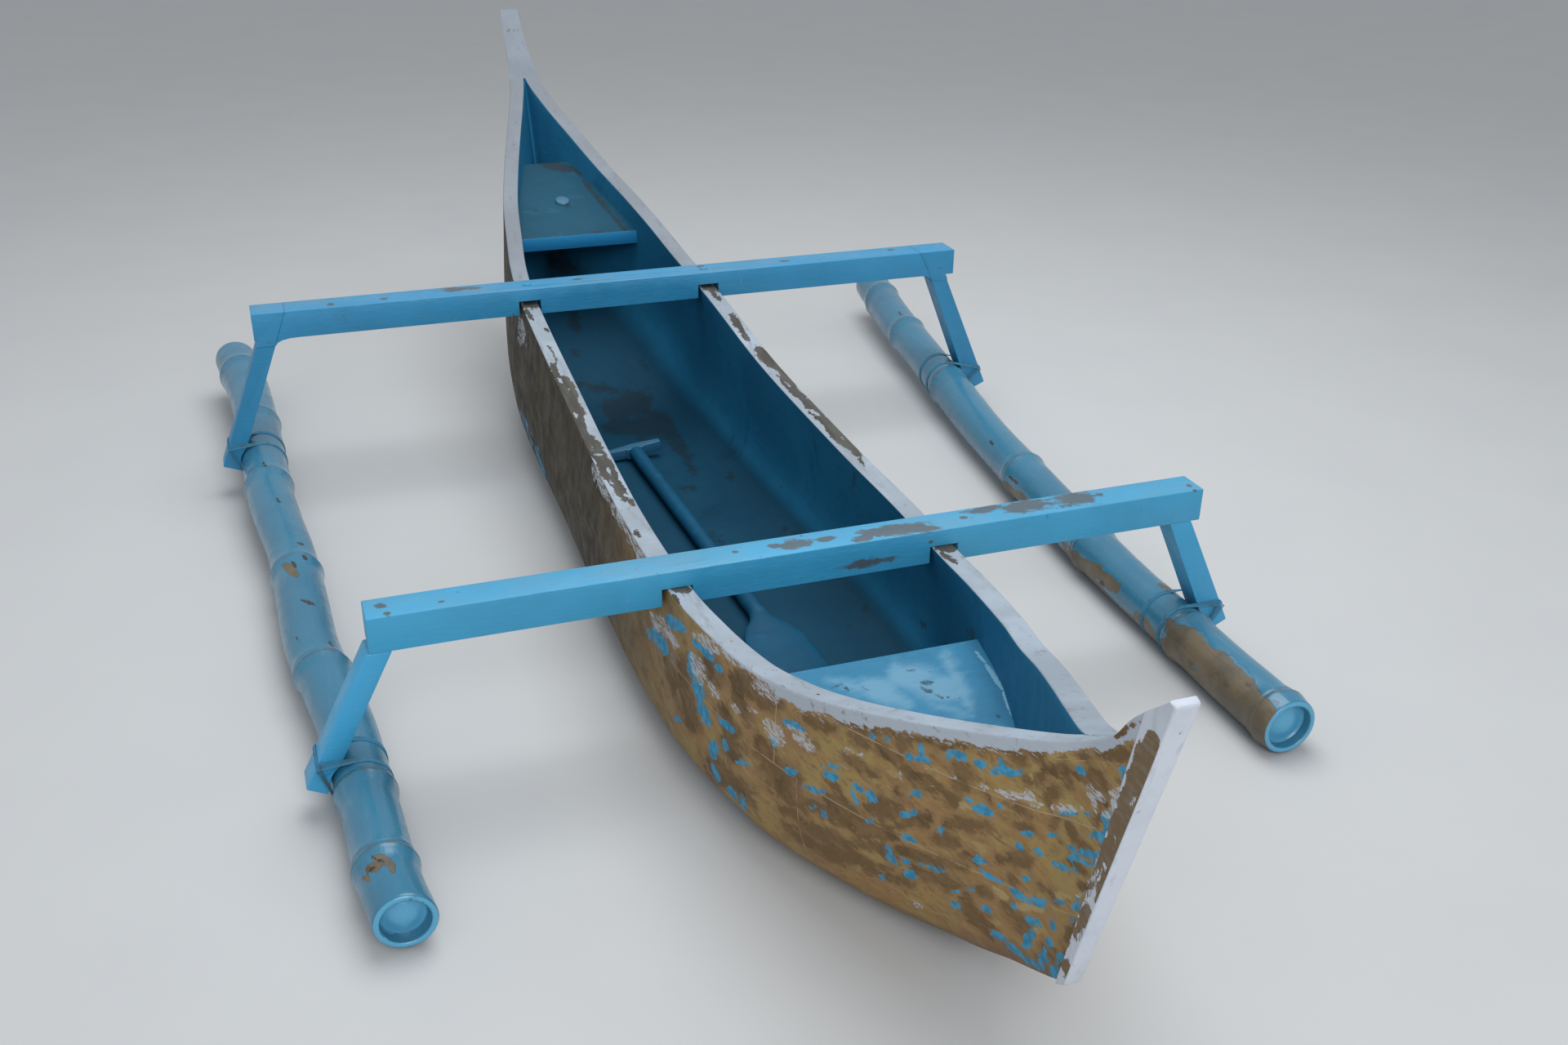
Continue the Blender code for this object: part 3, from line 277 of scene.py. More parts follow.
STAIN_STROKES = [
    (702, 386, 706, 404, 6), (700, 424, 706, 434, 4), (734, 469, 738, 470, 1.3), (748, 500, 790, 498, 14),
    (748, 522, 806, 524, 14), (800, 505, 820, 522, 9), (818, 524, 838, 552, 9), (836, 552, 848, 576, 7),
    (765, 486, 792, 490, 8), (894, 583, 896, 587, 3.4), (826, 597, 848, 599, 1.6), (674, 320, 702, 330, 8),
    (796, 456, 788, 482, 1.4), (784, 440, 796, 456, 1.0), (1040, 767, 1042, 769, 3),
    (1046, 794, 1048, 798, 2.6), (1047, 582, 1045, 596, 1.4), (960, 648, 976, 656, 4),
    (870, 655, 882, 664, 1.6), (1128, 762, 1130, 766, 1.6), (1190, 772, 1194, 790, 2),
    (1056, 740, 1064, 752, 2.0), (700, 470, 760, 480, 4),
]
STEM_BARE_STROKES = WIPE_STROKES + [
    (1409, 901, 1411, 906, 8), (1410, 908, 1409, 920, 12), (1408, 922, 1402, 940, 13),
    (1400, 944, 1396, 960, 11), (1393, 962, 1389, 985, 10.5), (1384, 985, 1382, 1000, 10.5),
    (1378, 1002, 1374, 1012, 12), (1370, 1014, 1366, 1024, 12), (1364, 1026, 1360, 1042, 11.5),
    (1358, 1044, 1355, 1062, 9.5), (1355, 1066, 1354, 1078, 7), (1349, 1080, 1348, 1096, 6.5),
    (1345, 1098, 1345, 1108, 5), (1329, 1112, 1328, 1124, 7), (1328, 1124, 1326, 1136, 9),
    (1323, 1136, 1320, 1146, 8), (1309, 1148, 1305, 1160, 3.5), (1301, 1162, 1300, 1176, 3.5),
    (1304, 1178, 1306, 1190, 7), (1306, 1190, 1308, 1197, 5), (1400, 910, 1393, 936, 9),
    (1392, 936, 1384, 960, 9), (1383, 960, 1374, 990, 9), (1373, 990, 1361, 1024, 9),
    (1360, 1024, 1349, 1052, 8), (1346, 1056, 1338, 1078, 6), (1336, 1080, 1328, 1100, 6),
]
STEM_FLAKE_STROKES = [
    (1351, 1058, 1354, 1068, 2.2), (1378, 1018, 1384, 1006, 1.6), (1364, 1018, 1366, 1032, 1.4),
    (1336, 1122, 1331, 1134, 1.4), (1320, 1150, 1327, 1138, 2.6), (1312, 1160, 1324, 1148, 4.5),
    (1306, 1166, 1316, 1172, 4), (1316, 1180, 1309, 1190, 2), (1386, 986, 1391, 974, 1.4),
    (1404, 962, 1412, 944, 1.6), (1416, 926, 1424, 906, 1.8), (1397, 908, 1400, 900, 2),
    (1330, 1100, 1340, 1090, 5), (1338, 1078, 1344, 1066, 3),
]
BENCH_SMUDGES = [
    (1127, 836, 1141, 836, 2.4), (1129, 843, 1142, 848, 2.4), (1142, 848, 1156, 856, 0.8),
    (1018, 843, 1030, 838, 1.4), (1030, 838, 1040, 846, 1.4), (1110, 821, 1120, 822, 1.2),
    (1221, 876, 1223, 877, 1.8), (1056, 842, 1064, 846, 0.9), (662, 199, 700, 208, 6),
    (700, 205, 712, 214, 3), (726, 236, 748, 262, 3.0), (748, 262, 772, 290, 2.6),
    (714, 222, 726, 236, 2.4), (654, 257, 658, 259, 1.2), (689, 252, 698, 253, 1.6),
    (728, 284, 740, 287, 2.0),
]
BENCH_WORN = [
    (1012, 832, 1060, 845, 8), (1060, 840, 1110, 860, 16), (1100, 826, 1180, 850, 22),
    (1158, 806, 1188, 868, 14), (1140, 862, 1190, 876, 8), (1096, 816, 1110, 826, 10),
]
LINE_STROKES = [
    (1284, 929, 1340, 933, 1.0), (1340, 933, 1386, 937, 1.0), (1398, 908, 1386, 936, 1.3),
    (1126, 958, 1150, 966, 0.6), (1326, 950, 1352, 978, 0.7),
]
# Float marks, boom marks and stains elsewhere, also in photo pixels.
FLOAT_BARE_STROKES = [
    (1446, 782, 1470, 800, 22), (1475, 806, 1530, 856, 25), (1530, 866, 1552, 886, 22),
    (1556, 902, 1580, 910, 10), (1432, 762, 1440, 790, 8), (1336, 690, 1350, 704, 6),
    (1346, 704, 1366, 722, 7), (1392, 752, 1414, 782, 6), (1312, 676, 1322, 684, 5),
    (1238, 600, 1256, 612, 4), (1420, 716, 1440, 724, 3), (350, 692, 362, 704, 6),
    (1300, 664, 1308, 670, 3), (450, 1066, 466, 1058, 6), (460, 1050, 480, 1058, 6),
    (446, 1074, 452, 1080, 3), (476, 1060, 482, 1068, 3), (1302, 674, 1342, 704, 7),
    (1332, 696, 1368, 716, 7), (1316, 694, 1362, 738, 6), (1360, 738, 1408, 784, 6),
    (1424, 788, 1460, 830, 12), (1456, 826, 1548, 914, 16), (1150, 512, 1200, 562, 3),
    (1226, 592, 1240, 606, 6), (1200, 562, 1226, 592, 2.5),
]
FLOAT_BLUE_STROKES = [
    (1470, 770, 1500, 790, 8), (1500, 786, 1560, 838, 12), (1440, 752, 1470, 760, 6),
]
FLOAT_DARK_STROKES = [
    (364, 665, 371, 667, 1.6), (370, 680, 376, 685, 2.0), (358, 688, 362, 695, 2.2),
    (369, 735, 386, 741, 2.0), (376, 736, 380, 740, 2.4), (452, 1066, 458, 1062, 2.2),
    (462, 1054, 470, 1056, 2.2), (455, 1049, 460, 1052, 1.4), (478, 1130, 484, 1134, 1.6),
    (470, 1140, 476, 1146, 1.4), (1120, 470, 1124, 474, 1.8), (1212, 540, 1216, 545, 1.8),
    (1236, 584, 1246, 592, 1.8), (1100, 382, 1104, 386, 1.4), (1560, 858, 1566, 862, 1.6),
    (322, 566, 326, 572, 1.6), (338, 610, 344, 616, 1.6), (362, 780, 366, 786, 1.4),
    (402, 786, 408, 792, 1.4), (1348, 712, 1352, 718, 2.0),
]
POST_DIRT_STROKES = [(618, 37, 633, 38, 1.6), (1303, 1196, 1322, 1200, 3.0)]
PANEL_FILLER_STROKES = [
    (1194, 797, 1206, 812, 2.2), (1206, 812, 1228, 845, 3.0), (1228, 845, 1242, 880, 3.6),
    (1242, 876, 1248, 890, 4.5),
]
# Marks on flat faces: pixel (x, y) with half-width and half-height.
FRONT_TOP_MARKS = [
    (972, 666, 22, 6), (950, 668, 9, 3), (1010, 660, 12, 3), (1057, 659, 14, 4), (1096, 649, 44, 4),
    (1132, 648, 20, 4), (1205, 624, 26, 3), (1258, 620, 34, 7), (1318, 611, 30, 8), (1346, 606, 6, 3),
    (1456, 595, 3, 2), (466, 742, 8, 3), (474, 752, 4, 3), (540, 737, 4, 1.2), (900, 676, 4, 2),
    (1180, 634, 5, 1.5),
]
REAR_TOP_MARKS = [
    (560, 354, 26, 2.5), (404, 373, 5, 1.8), (470, 366, 5, 1.2), (706, 342, 6, 1.2), (858, 326, 5, 1.6),
    (960, 320, 6, 1.2), (1090, 306, 5, 1.2),
]
FRONT_FACE_MARKS = [(463, 745, 7, 4), (1060, 690, 30, 1.4), (1140, 664, 3, 2), (1464, 600, 3, 3)]

# Booms and struts, as in the solids: a strut's outer face has its X at the boom, then its foot (X, Z).
FRONT_BOOM, FRONT_TOP = -0.740, 0.338
REAR_BOOM, REAR_TOP = 0.518, 0.420
BOOM_HEIGHT = 0.060
STRUT_DEPTH = 0.050
STRUT_INSET = 0.0015
STRUTS = {
    "front": {"port": (0.723, (0.8345, 0.0545)), "starboard": (0.7185, (0.832, 0.0575))},
    "rear": {"port": (0.830, (0.9605, 0.0590)), "starboard": (0.8055, (0.915, 0.0780))},
}
# Gap left between drawn pieces that touch.
CLEAR = 0.0003

# Cord: how far up the strut it is tied, strand radius, and turns beside and across the foot.
LASHING_UP = 0.046
STRAND, STRAND_SIDES = 0.00095, 6
STRAND_STEP, STRANDS = 0.0021, 5
STRAND_SINK = 0.9
FIRST_TURN = 0.0013
CULM_POINTS, TURN_POINTS = 64, 90
DRIFT = 0.0006
CROSS_TURNS, CROSS_POINTS = 3, 12
CROSS_STEP, CROSS_REACH = STRAND_STEP * 1.3, 0.004

# Panels, plug and paddle, as in the solids.
BENCH_FORE, BENCH_AFT, BENCH_THICK = (-1.400, 0.238), (-0.930, 0.238), 0.020
SEAT_FORE, SEAT_AFT, SEAT_THICK = (0.950, 0.413), (1.310, 0.518), 0.034
PANEL_ROWS, PANEL_ACROSS = 110, 90
PANEL_ROUND, PANEL_BENDS = 0.002, (0.3, 0.8, 1.2)
PLUG_PLACE, PLUG_RADIUS, PLUG_HEIGHT, PLUG_SIDES = (-0.003, 1.110), 0.019, 0.008, 36
PLUG_PROFILE = [(1.0, 0.0), (1.0, 0.35), (0.97, 0.55), (0.9, 0.7), (0.75, 0.84), (0.5, 0.94), (0.2, 1.0)]
PADDLE_X, PADDLE_SKEW = -0.0075, -0.031
PADDLE_FLOOR = 0.0383
SHAFT_RADIUS = 0.0165
PADDLE_WIDE = [
    (-0.905, 0.026), (-0.89, 0.040), (-0.86, 0.050), (-0.785, 0.058), (-0.54, 0.058), (-0.49, 0.045),
    (-0.46, 0.024), (-0.43, SHAFT_RADIUS), (0.35, SHAFT_RADIUS),
]
BLADE_THICK = [
    (-0.905, 0.004), (-0.875, 0.006), (-0.785, 0.008), (-0.54, 0.010), (-0.49, 0.012), (-0.46, 0.014),
    (-0.43, SHAFT_RADIUS),
]
PADDLE_THICK = BLADE_THICK + [(0.35, SHAFT_RADIUS)]
PADDLE_LIFT = BLADE_THICK + [(0.35, 0.0215)]
PADDLE_SIDES = 48
TIP_INSET, TIP_ROUND, TIP_LEAST = 0.0005, 0.012, 0.05
BLADE_INSET, BLADE_END, BLADE_ROWS = 0.002, -0.40, 90
SHAFT_START, SHAFT_ROWS = -0.38, 40

# Camera fitted to the photograph.
CAMERA_PLACE = (-0.8065, -2.7722, 1.4638)
CAMERA_YAW = 0.35416
CAMERA_PITCH = 0.45791
CAMERA_ROLL = 0.014307
LENS = 34.69
SENSOR = 36.0
CLIP_START = 0.01
PHOTO_WIDE, PHOTO_TALL = 1920, 1280
FOCAL = LENS / SENSOR * PHOTO_WIDE

# How far a stroke's field reaches in pixels, how much its ends taper, and sizes of flat marks in metres.
MARK_REACH = 12.0
STROKE_TAPER = 0.6
MARK_LEAST, MARK_DEEP = 0.003, 0.005

# Lamps: name, place, aim, size, power and colour.
LAMPS = [
    ("overhead", (0.4, 0.3, 3.6), (0, 0, 0), 3.0, 90, (0.93, 0.97, 1.0)),
    ("front", (-0.6, -4.6, 2.8), (0, -0.6, 0.2), 2.5, 85, (0.97, 0.98, 1.0)),
]
SKY_LIGHT, SKY_STRENGTH = (0.90, 0.95, 1.0, 1), 0.55
FLOOR_REACH, FLOOR_Z = 30.0, -0.0005
FLOOR_GREYS = (0.52, 0.52, 0.52), (0.56, 0.56, 0.555)

# Softened edges of the solids that show as they are.
WELD_REACH = 1e-5
BEVEL_WIDTH, BEVEL_STEPS, BEVEL_DEGREES = 0.002, 3, 32

# Meshes: points merged, faces dropped as empty, and edges kept sharp above an angle in degrees.
MERGE_REACH, EMPTY_FACE = 2e-6, 1e-6
PLAIN_SHARP, HULL_SHARP = 40, 50

# Painted lines: solid and gone at these shares of their half-width.
LINE_CORE, LINE_EDGE = 0.7, 1.3
COAT_ROUGH = 0.2

# Colours of paint, wood and dirt; some are made darker or lighter as painted shade and painted light, as
# noted.
SKY = (0.046, 0.330, 0.560)
REAR_SKY = (0.030, 0.255, 0.470)
STRUT_SKY = (0.048, 0.350, 0.610)
# Inside blue: the deep blue paint, made darker still as painted shade for the hollow of the hull.
DEEP = (0.016, 0.142, 0.262)
CREAM = (0.390, 0.290, 0.130)
TAN = (0.325, 0.208, 0.084)
OLIVE = (0.345, 0.248, 0.090)
RED_TAN = (0.300, 0.168, 0.074)
MID_BROWN = (0.230, 0.140, 0.068)
BROWN = (0.162, 0.100, 0.043)
DARK_BROWN = (0.100, 0.062, 0.029)
GREY_BARE = (0.100, 0.096, 0.088)
FLECK = (0.062, 0.310, 0.500)
PUTTY = (0.400, 0.300, 0.190)
DIRT = (0.030, 0.026, 0.022)
FILLER = (0.200, 0.420, 0.560)
SCUFF_FADE, SCUFF_CHALK = (0.6, 0.55, 0.5), (0.075, 0.115, 0.150)
STAINED_WOOD, DRY_WOOD = (0.052, 0.060, 0.064), (0.110, 0.090, 0.074)
# Grip and plug blue: the sky paint made darker, as painted shade.
GRIP_BLUE = (0.018, 0.120, 0.215)
# Culm blues; the lighter blue on the fore end faces is painted light.
CULM_BLUE, CULM_SHADE, CULM_LIT_END = (0.036, 0.180, 0.290), (0.028, 0.145, 0.240), (0.090, 0.360, 0.560)
CULM_WOOD, CULM_TAN, CULM_DARK = (0.105, 0.085, 0.055), (0.165, 0.125, 0.075), (0.070, 0.052, 0.036)
CORD_BLUE = (0.046, 0.225, 0.370)
# Aft outside colours: the scraped brown made several times darker than the bow's, as painted shade.
AFT_OLIVE, AFT_SHADE, AFT_STREAK = (0.062, 0.048, 0.026), (0.048, 0.040, 0.025), (0.040, 0.030, 0.020)
AFT_DRY, AFT_GREY = (0.098, 0.078, 0.042), (0.130, 0.118, 0.105)
# Low band near the keel; the aft one is darkened as painted shade.
LOW_BOW, LOW_AFT = (0.175, 0.108, 0.070), (0.070, 0.055, 0.044)
OLD_WHITE, OLD_BLUE = (0.46, 0.47, 0.49), (0.040, 0.215, 0.350)
BAND_WHITE, BAND_DIRT = (0.42, 0.465, 0.52), (0.24, 0.20, 0.155)
RIM_WHITE, RIM_BRIGHT, RIM_BARE = (0.300, 0.340, 0.385), (0.390, 0.450, 0.520), (0.070, 0.062, 0.052)
STEM_WHITE, STERN_WHITE = (0.58, 0.62, 0.69), (0.21, 0.24, 0.28)
POST_BARE = (0.190, 0.140, 0.090)
# The bench blue is a lit copy and the seat blues a shaded copy of one board paint, painted light and painted
# shade; the seat's fore edge blue is painted light.
BENCH_BLUE, BENCH_CHALK = (0.046, 0.215, 0.360), (0.170, 0.350, 0.470)
SEAT_BLUE, SEAT_CHALK, SEAT_LIT_EDGE = (0.014, 0.080, 0.130), (0.020, 0.100, 0.160), (0.018, 0.210, 0.430)
# Paddle blues: the board blue made darker, as painted shade inside the hull.
PADDLE_BLUE, PADDLE_CHALK = (0.009, 0.088, 0.165), (0.014, 0.110, 0.200)

# Nodes that the two hull shells replace, and how finely each shell is drawn.
BOW_NODES = ["bow_log"] + [f"bow_{part}_{label}" for label in SIDES
                           for part in ("lower_strake", "upper_strake", "cheek")]
MAIN_NODES = ["hull_log", "stern_log"] + [
    f"{length}{plank}_{label}" for label in SIDES for length in ("", "stern_")
    for plank in ("lower_strake", "upper_strake")]
SHELL_SPLIT = -1.144
EDGE_ROUND, EDGE_STEPS = 0.003, 3
RIM_STEPS = 9
# The load space closes smoothly over these lengths, in its width and towards the stern joint.
CLOSE_WIDE, CLOSE_LONG = 0.010, 0.02
LEAST_DEPTH = 1e-5
BOW_SHELL = {"rings": 250, "outer": 110, "inner": 34}
MAIN_SHELL = {"rings": 270, "outer": 92, "inner": 50}
MAIN_EVEN, MAIN_CROWDED, MAIN_POWER = 0.45, 0.55, 1.8

# The zone field is 1 outside, 0 on the gunwale and -1 inside. Outside marks need more than the first
# value, gunwale marks less than the second either way, and inside marks less than minus the second.
OUTSIDE_ZONE, RIM_ZONE = 0.4, 0.9
# Outside marks end at this Y, and inside marks start at this X.
SIDE_MARKS_TO, INSIDE_MARKS_FROM = 0.55, -0.15

# Posts: rows, softened edges, points up each side and how far the ends stand in.
POST_ROWS = 240
POST_ROUND, POST_ROUND_MOST = 0.0035, 0.7
POST_BENDS = np.linspace(0.3, math.pi / 2, 5)
POST_FACE_SHARES = (0.6, 0.25)
POST_SIDE = 18
POST_END_INSET = 0.0015


def camera_axes():
    """Right, up and forward directions of the camera."""
    forward = Vector((math.sin(CAMERA_YAW) * math.cos(CAMERA_PITCH),
                      math.cos(CAMERA_YAW) * math.cos(CAMERA_PITCH), -math.sin(CAMERA_PITCH)))
    level = Vector((math.cos(CAMERA_YAW), -math.sin(CAMERA_YAW), 0))
    lift = level.cross(forward)
    right = level * math.cos(CAMERA_ROLL) + lift * math.sin(CAMERA_ROLL)
    return right, lift * math.cos(CAMERA_ROLL) - level * math.sin(CAMERA_ROLL), forward


RIGHT, UP, FORWARD = camera_axes()


def photo_pixels(points):
    """Pixels of points on the photograph."""
    away = np.asarray(points, float) - np.array(CAMERA_PLACE)
    ahead = away @ np.array(FORWARD)
    return np.c_[PHOTO_WIDE / 2 + FOCAL * (away @ np.array(RIGHT)) / ahead,
                 PHOTO_TALL / 2 - FOCAL * (away @ np.array(UP)) / ahead]


def on_plane(pixel, axis, value):
    """Point seen at a pixel, on the plane where one coordinate has a value."""
    ray = FORWARD + RIGHT * ((pixel[0] - PHOTO_WIDE / 2) / FOCAL) + UP * ((PHOTO_TALL / 2 - pixel[1]) / FOCAL)
    return Vector(CAMERA_PLACE) + ray * ((value - CAMERA_PLACE[axis]) / ray[axis])


def flat_marks(marks, axis, value):
    """Centres and radii of soft marks on a flat face."""
    result = []
    for x, y, wide, tall in marks:
        centre = on_plane((x, y), axis, value)
        across = on_plane((x + wide, y), axis, value) - centre
        up = on_plane((x, y - tall), axis, value) - centre
        radii = [max(abs(across[i]), abs(up[i]), MARK_LEAST) for i in range(3)]
        radii[axis] = MARK_DEEP
        result.append((centre, radii))
    return result


def stroke_depth(pixels, strokes, mask=None):
    """How many pixels deep each point lies in the nearest stroke, below 0 outside them."""
    depth = np.full(len(pixels), -MARK_REACH)
    mask = np.ones(len(pixels), bool) if mask is None else mask
    spots = pixels[mask]
    best = depth[mask]
    for x0, y0, x1, y1, half in strokes:
        start, along = np.array((x0, y0)), np.array((x1 - x0, y1 - y0))
        share = np.clip((spots - start) @ along / max(along @ along, 1e-9), 0, 1)
        away = spots - start - share[:, None] * along
        long = math.hypot(*along)
        wide = half * (1 - STROKE_TAPER * long / (long + 2 * half) * (2 * share - 1) ** 2)
        best = np.maximum(best, wide - np.hypot(away[:, 0], away[:, 1]))
    depth[mask] = np.minimum(best, MARK_REACH)
    return depth


class Line:
    """Smooth curve through (Y, value) stations, with no overshoot."""

    def __init__(self, stations):
        self.y, self.v = np.array(stations, float).T
        slopes = np.diff(self.v) / np.diff(self.y)
        left, right = slopes[:-1], slopes[1:]
        same = left * right > 0
        inner = np.where(same, 2 * left * right / np.where(same, left + right, 1.0), 0.0)
        self.m = np.r_[slopes[0], inner, slopes[-1]]

    def __call__(self, y):
        """Value at Y, held level past both ends."""
        y = np.clip(y, self.y[0], self.y[-1])
        i = np.clip(np.searchsorted(self.y, y, "right") - 1, 0, len(self.y) - 2)
        span = self.y[i + 1] - self.y[i]
        t = (y - self.y[i]) / span
        level = self.v[i] * (1 + 2 * t) * (1 - t) ** 2 + self.v[i + 1] * t * t * (3 - 2 * t)
        return level + span * (self.m[i] * t * (1 - t) ** 2 - self.m[i + 1] * t * t * (1 - t))


half_beam, sheer, keel_line, floor_line = Line(HALF_BEAM), Line(SHEER), Line(KEEL), Line(FLOOR)
fullness, belly_line, seam_a, seam_b = Line(FULLNESS), Line(BELLY), Line(SEAM_A), Line(SEAM_B)
band_depth = Line(BAND)


def ease(value):
    """Smooth step from 0 to 1."""
    t = min(1.0, max(0.0, value))
    return t * t * (3 - 2 * t)


def bell(away, reach):
    """Smooth hump, 1 at the middle."""
    return math.exp(-(away / reach) ** 2)


def around(count):
    """Angles spread evenly round a circle."""
    return np.linspace(0, 2 * math.pi, count, endpoint=False)


class Section:
    """One slanted cross-section of the hull, named by its Y at the gunwale."""

    def __init__(self, y):
        self.y = y
        self.top = float(sheer(y))
        self.slope = self.rake(y)
        keel_y = y + self.slope * self.top
        for _ in range(KEEL_PASSES):
            keel_y = y + self.slope * (self.top - float(keel_line(keel_y)))
        self.keel = float(keel_line(keel_y))
        self.floor = float(floor_line(y + self.slope * self.top))
        self.beam = float(half_beam(y))
        self.inner = max(0.0, self.beam - WALL)
        self.belly = float(belly_line(y))
        self.n = float(fullness(y))

    @staticmethod
    def rake(y):
        """How far a section at Y leans, as metres of Y for each metre down."""
        if y < BOW_RAKE_FROM:
            return BOW_RAKE * min(1.0, (BOW_RAKE_FROM - y) / BOW_RAKE_OVER)
        if y > STERN_RAKE_FROM:
            return STERN_RAKE * min(1.0, (y - STERN_RAKE_FROM) / STERN_RAKE_OVER)
        return 0.0

    def along(self, z):
        """Y of the slanted section at a height."""
        return self.y + self.slope * (self.top - z)

    def half_at(self, at_top, depth, z):
        """Half-width of a rounded side at a height."""
        share = min(1.0, max(0.0, (self.top - z) / depth))
        return (at_top + self.belly * share * (2 - share)) * (1 - share ** self.n) ** (1 / self.n)

    def run(self, at_top, depth, skip, count):
        """Points (x, z) of a rounded side from a little below the top to the centre, evenly spaced."""
        share = np.linspace(0.0, PROFILE_SHARE, PROFILE_SAMPLES)
        turn = np.r_[np.arcsin(share ** (self.n / 2)), np.arccos(share ** (self.n / 2))]
        turn = np.unique(np.r_[turn, math.pi / 2])
        down = np.sin(turn) ** (2 / self.n)
        wide = (at_top + self.belly * down * (2 - down)) * np.clip(np.cos(turn), 0, 1) ** (2 / self.n)
        wide[-1] = 0.0
        x, z = wide, self.top - depth * down
        reach = np.r_[0.0, np.cumsum(np.hypot(np.diff(x), np.diff(z)))]
        want = np.linspace(min(skip, reach[-1] * 0.5), reach[-1], count)
        return np.c_[np.interp(want, reach, x), np.interp(want, reach, z)]


def section_through(y, z):
    """Section whose slanted plane passes through a point at Y and height z."""
    gunwale = y
    for _ in range(GUNWALE_PASSES):
        section = Section(gunwale)
        gunwale = y - section.slope * (section.top - z)
    return Section(gunwale)


def add_piece(name, points, faces, mat, replaces=(), fields=None, sharp=PLAIN_SHARP):
    """Mesh that rides on the boat, with its material and point fields."""
    mesh = bpy.data.meshes.new(name)
    mesh.from_pydata([tuple(p) for p in points], [], faces)
    for field, values in (fields or {}).items():
        layer = mesh.attributes.new(field, "FLOAT", "POINT")
        layer.data.foreach_set("value", np.asarray(values, np.float32).ravel())
    bm = bmesh.new()
    bm.from_mesh(mesh)
    bmesh.ops.remove_doubles(bm, verts=bm.verts, dist=MERGE_REACH)
    bmesh.ops.dissolve_degenerate(bm, edges=bm.edges, dist=EMPTY_FACE)
    bmesh.ops.recalc_face_normals(bm, faces=bm.faces)
    bm.to_mesh(mesh)
    bm.free()
    mesh.shade_smooth()
    mesh.set_sharp_from_angle(angle=math.radians(sharp))
    mesh.materials.append(mat)
    obj = bpy.data.objects.new(name, mesh)
    bpy.context.scene.collection.objects.link(obj)
    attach(obj, "root")
    if replaces:
        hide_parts(*replaces)


def grid_faces(rings, count, capped=True, start=0, looped=False):
    """Quads between closed rings of count points each, with a face at both ends if capped."""
    faces = []
    for i in range(rings if looped else rings - 1):
        a, b = start + i * count, start + (i + 1) % rings * count
        for k in range(count):
            j = (k + 1) % count
            faces.append((a + k, a + j, b + j, b + k))
    if capped:
        faces += [tuple(range(start, start + count)),
                  tuple(range(start + (rings - 1) * count, start + rings * count))]
    return faces


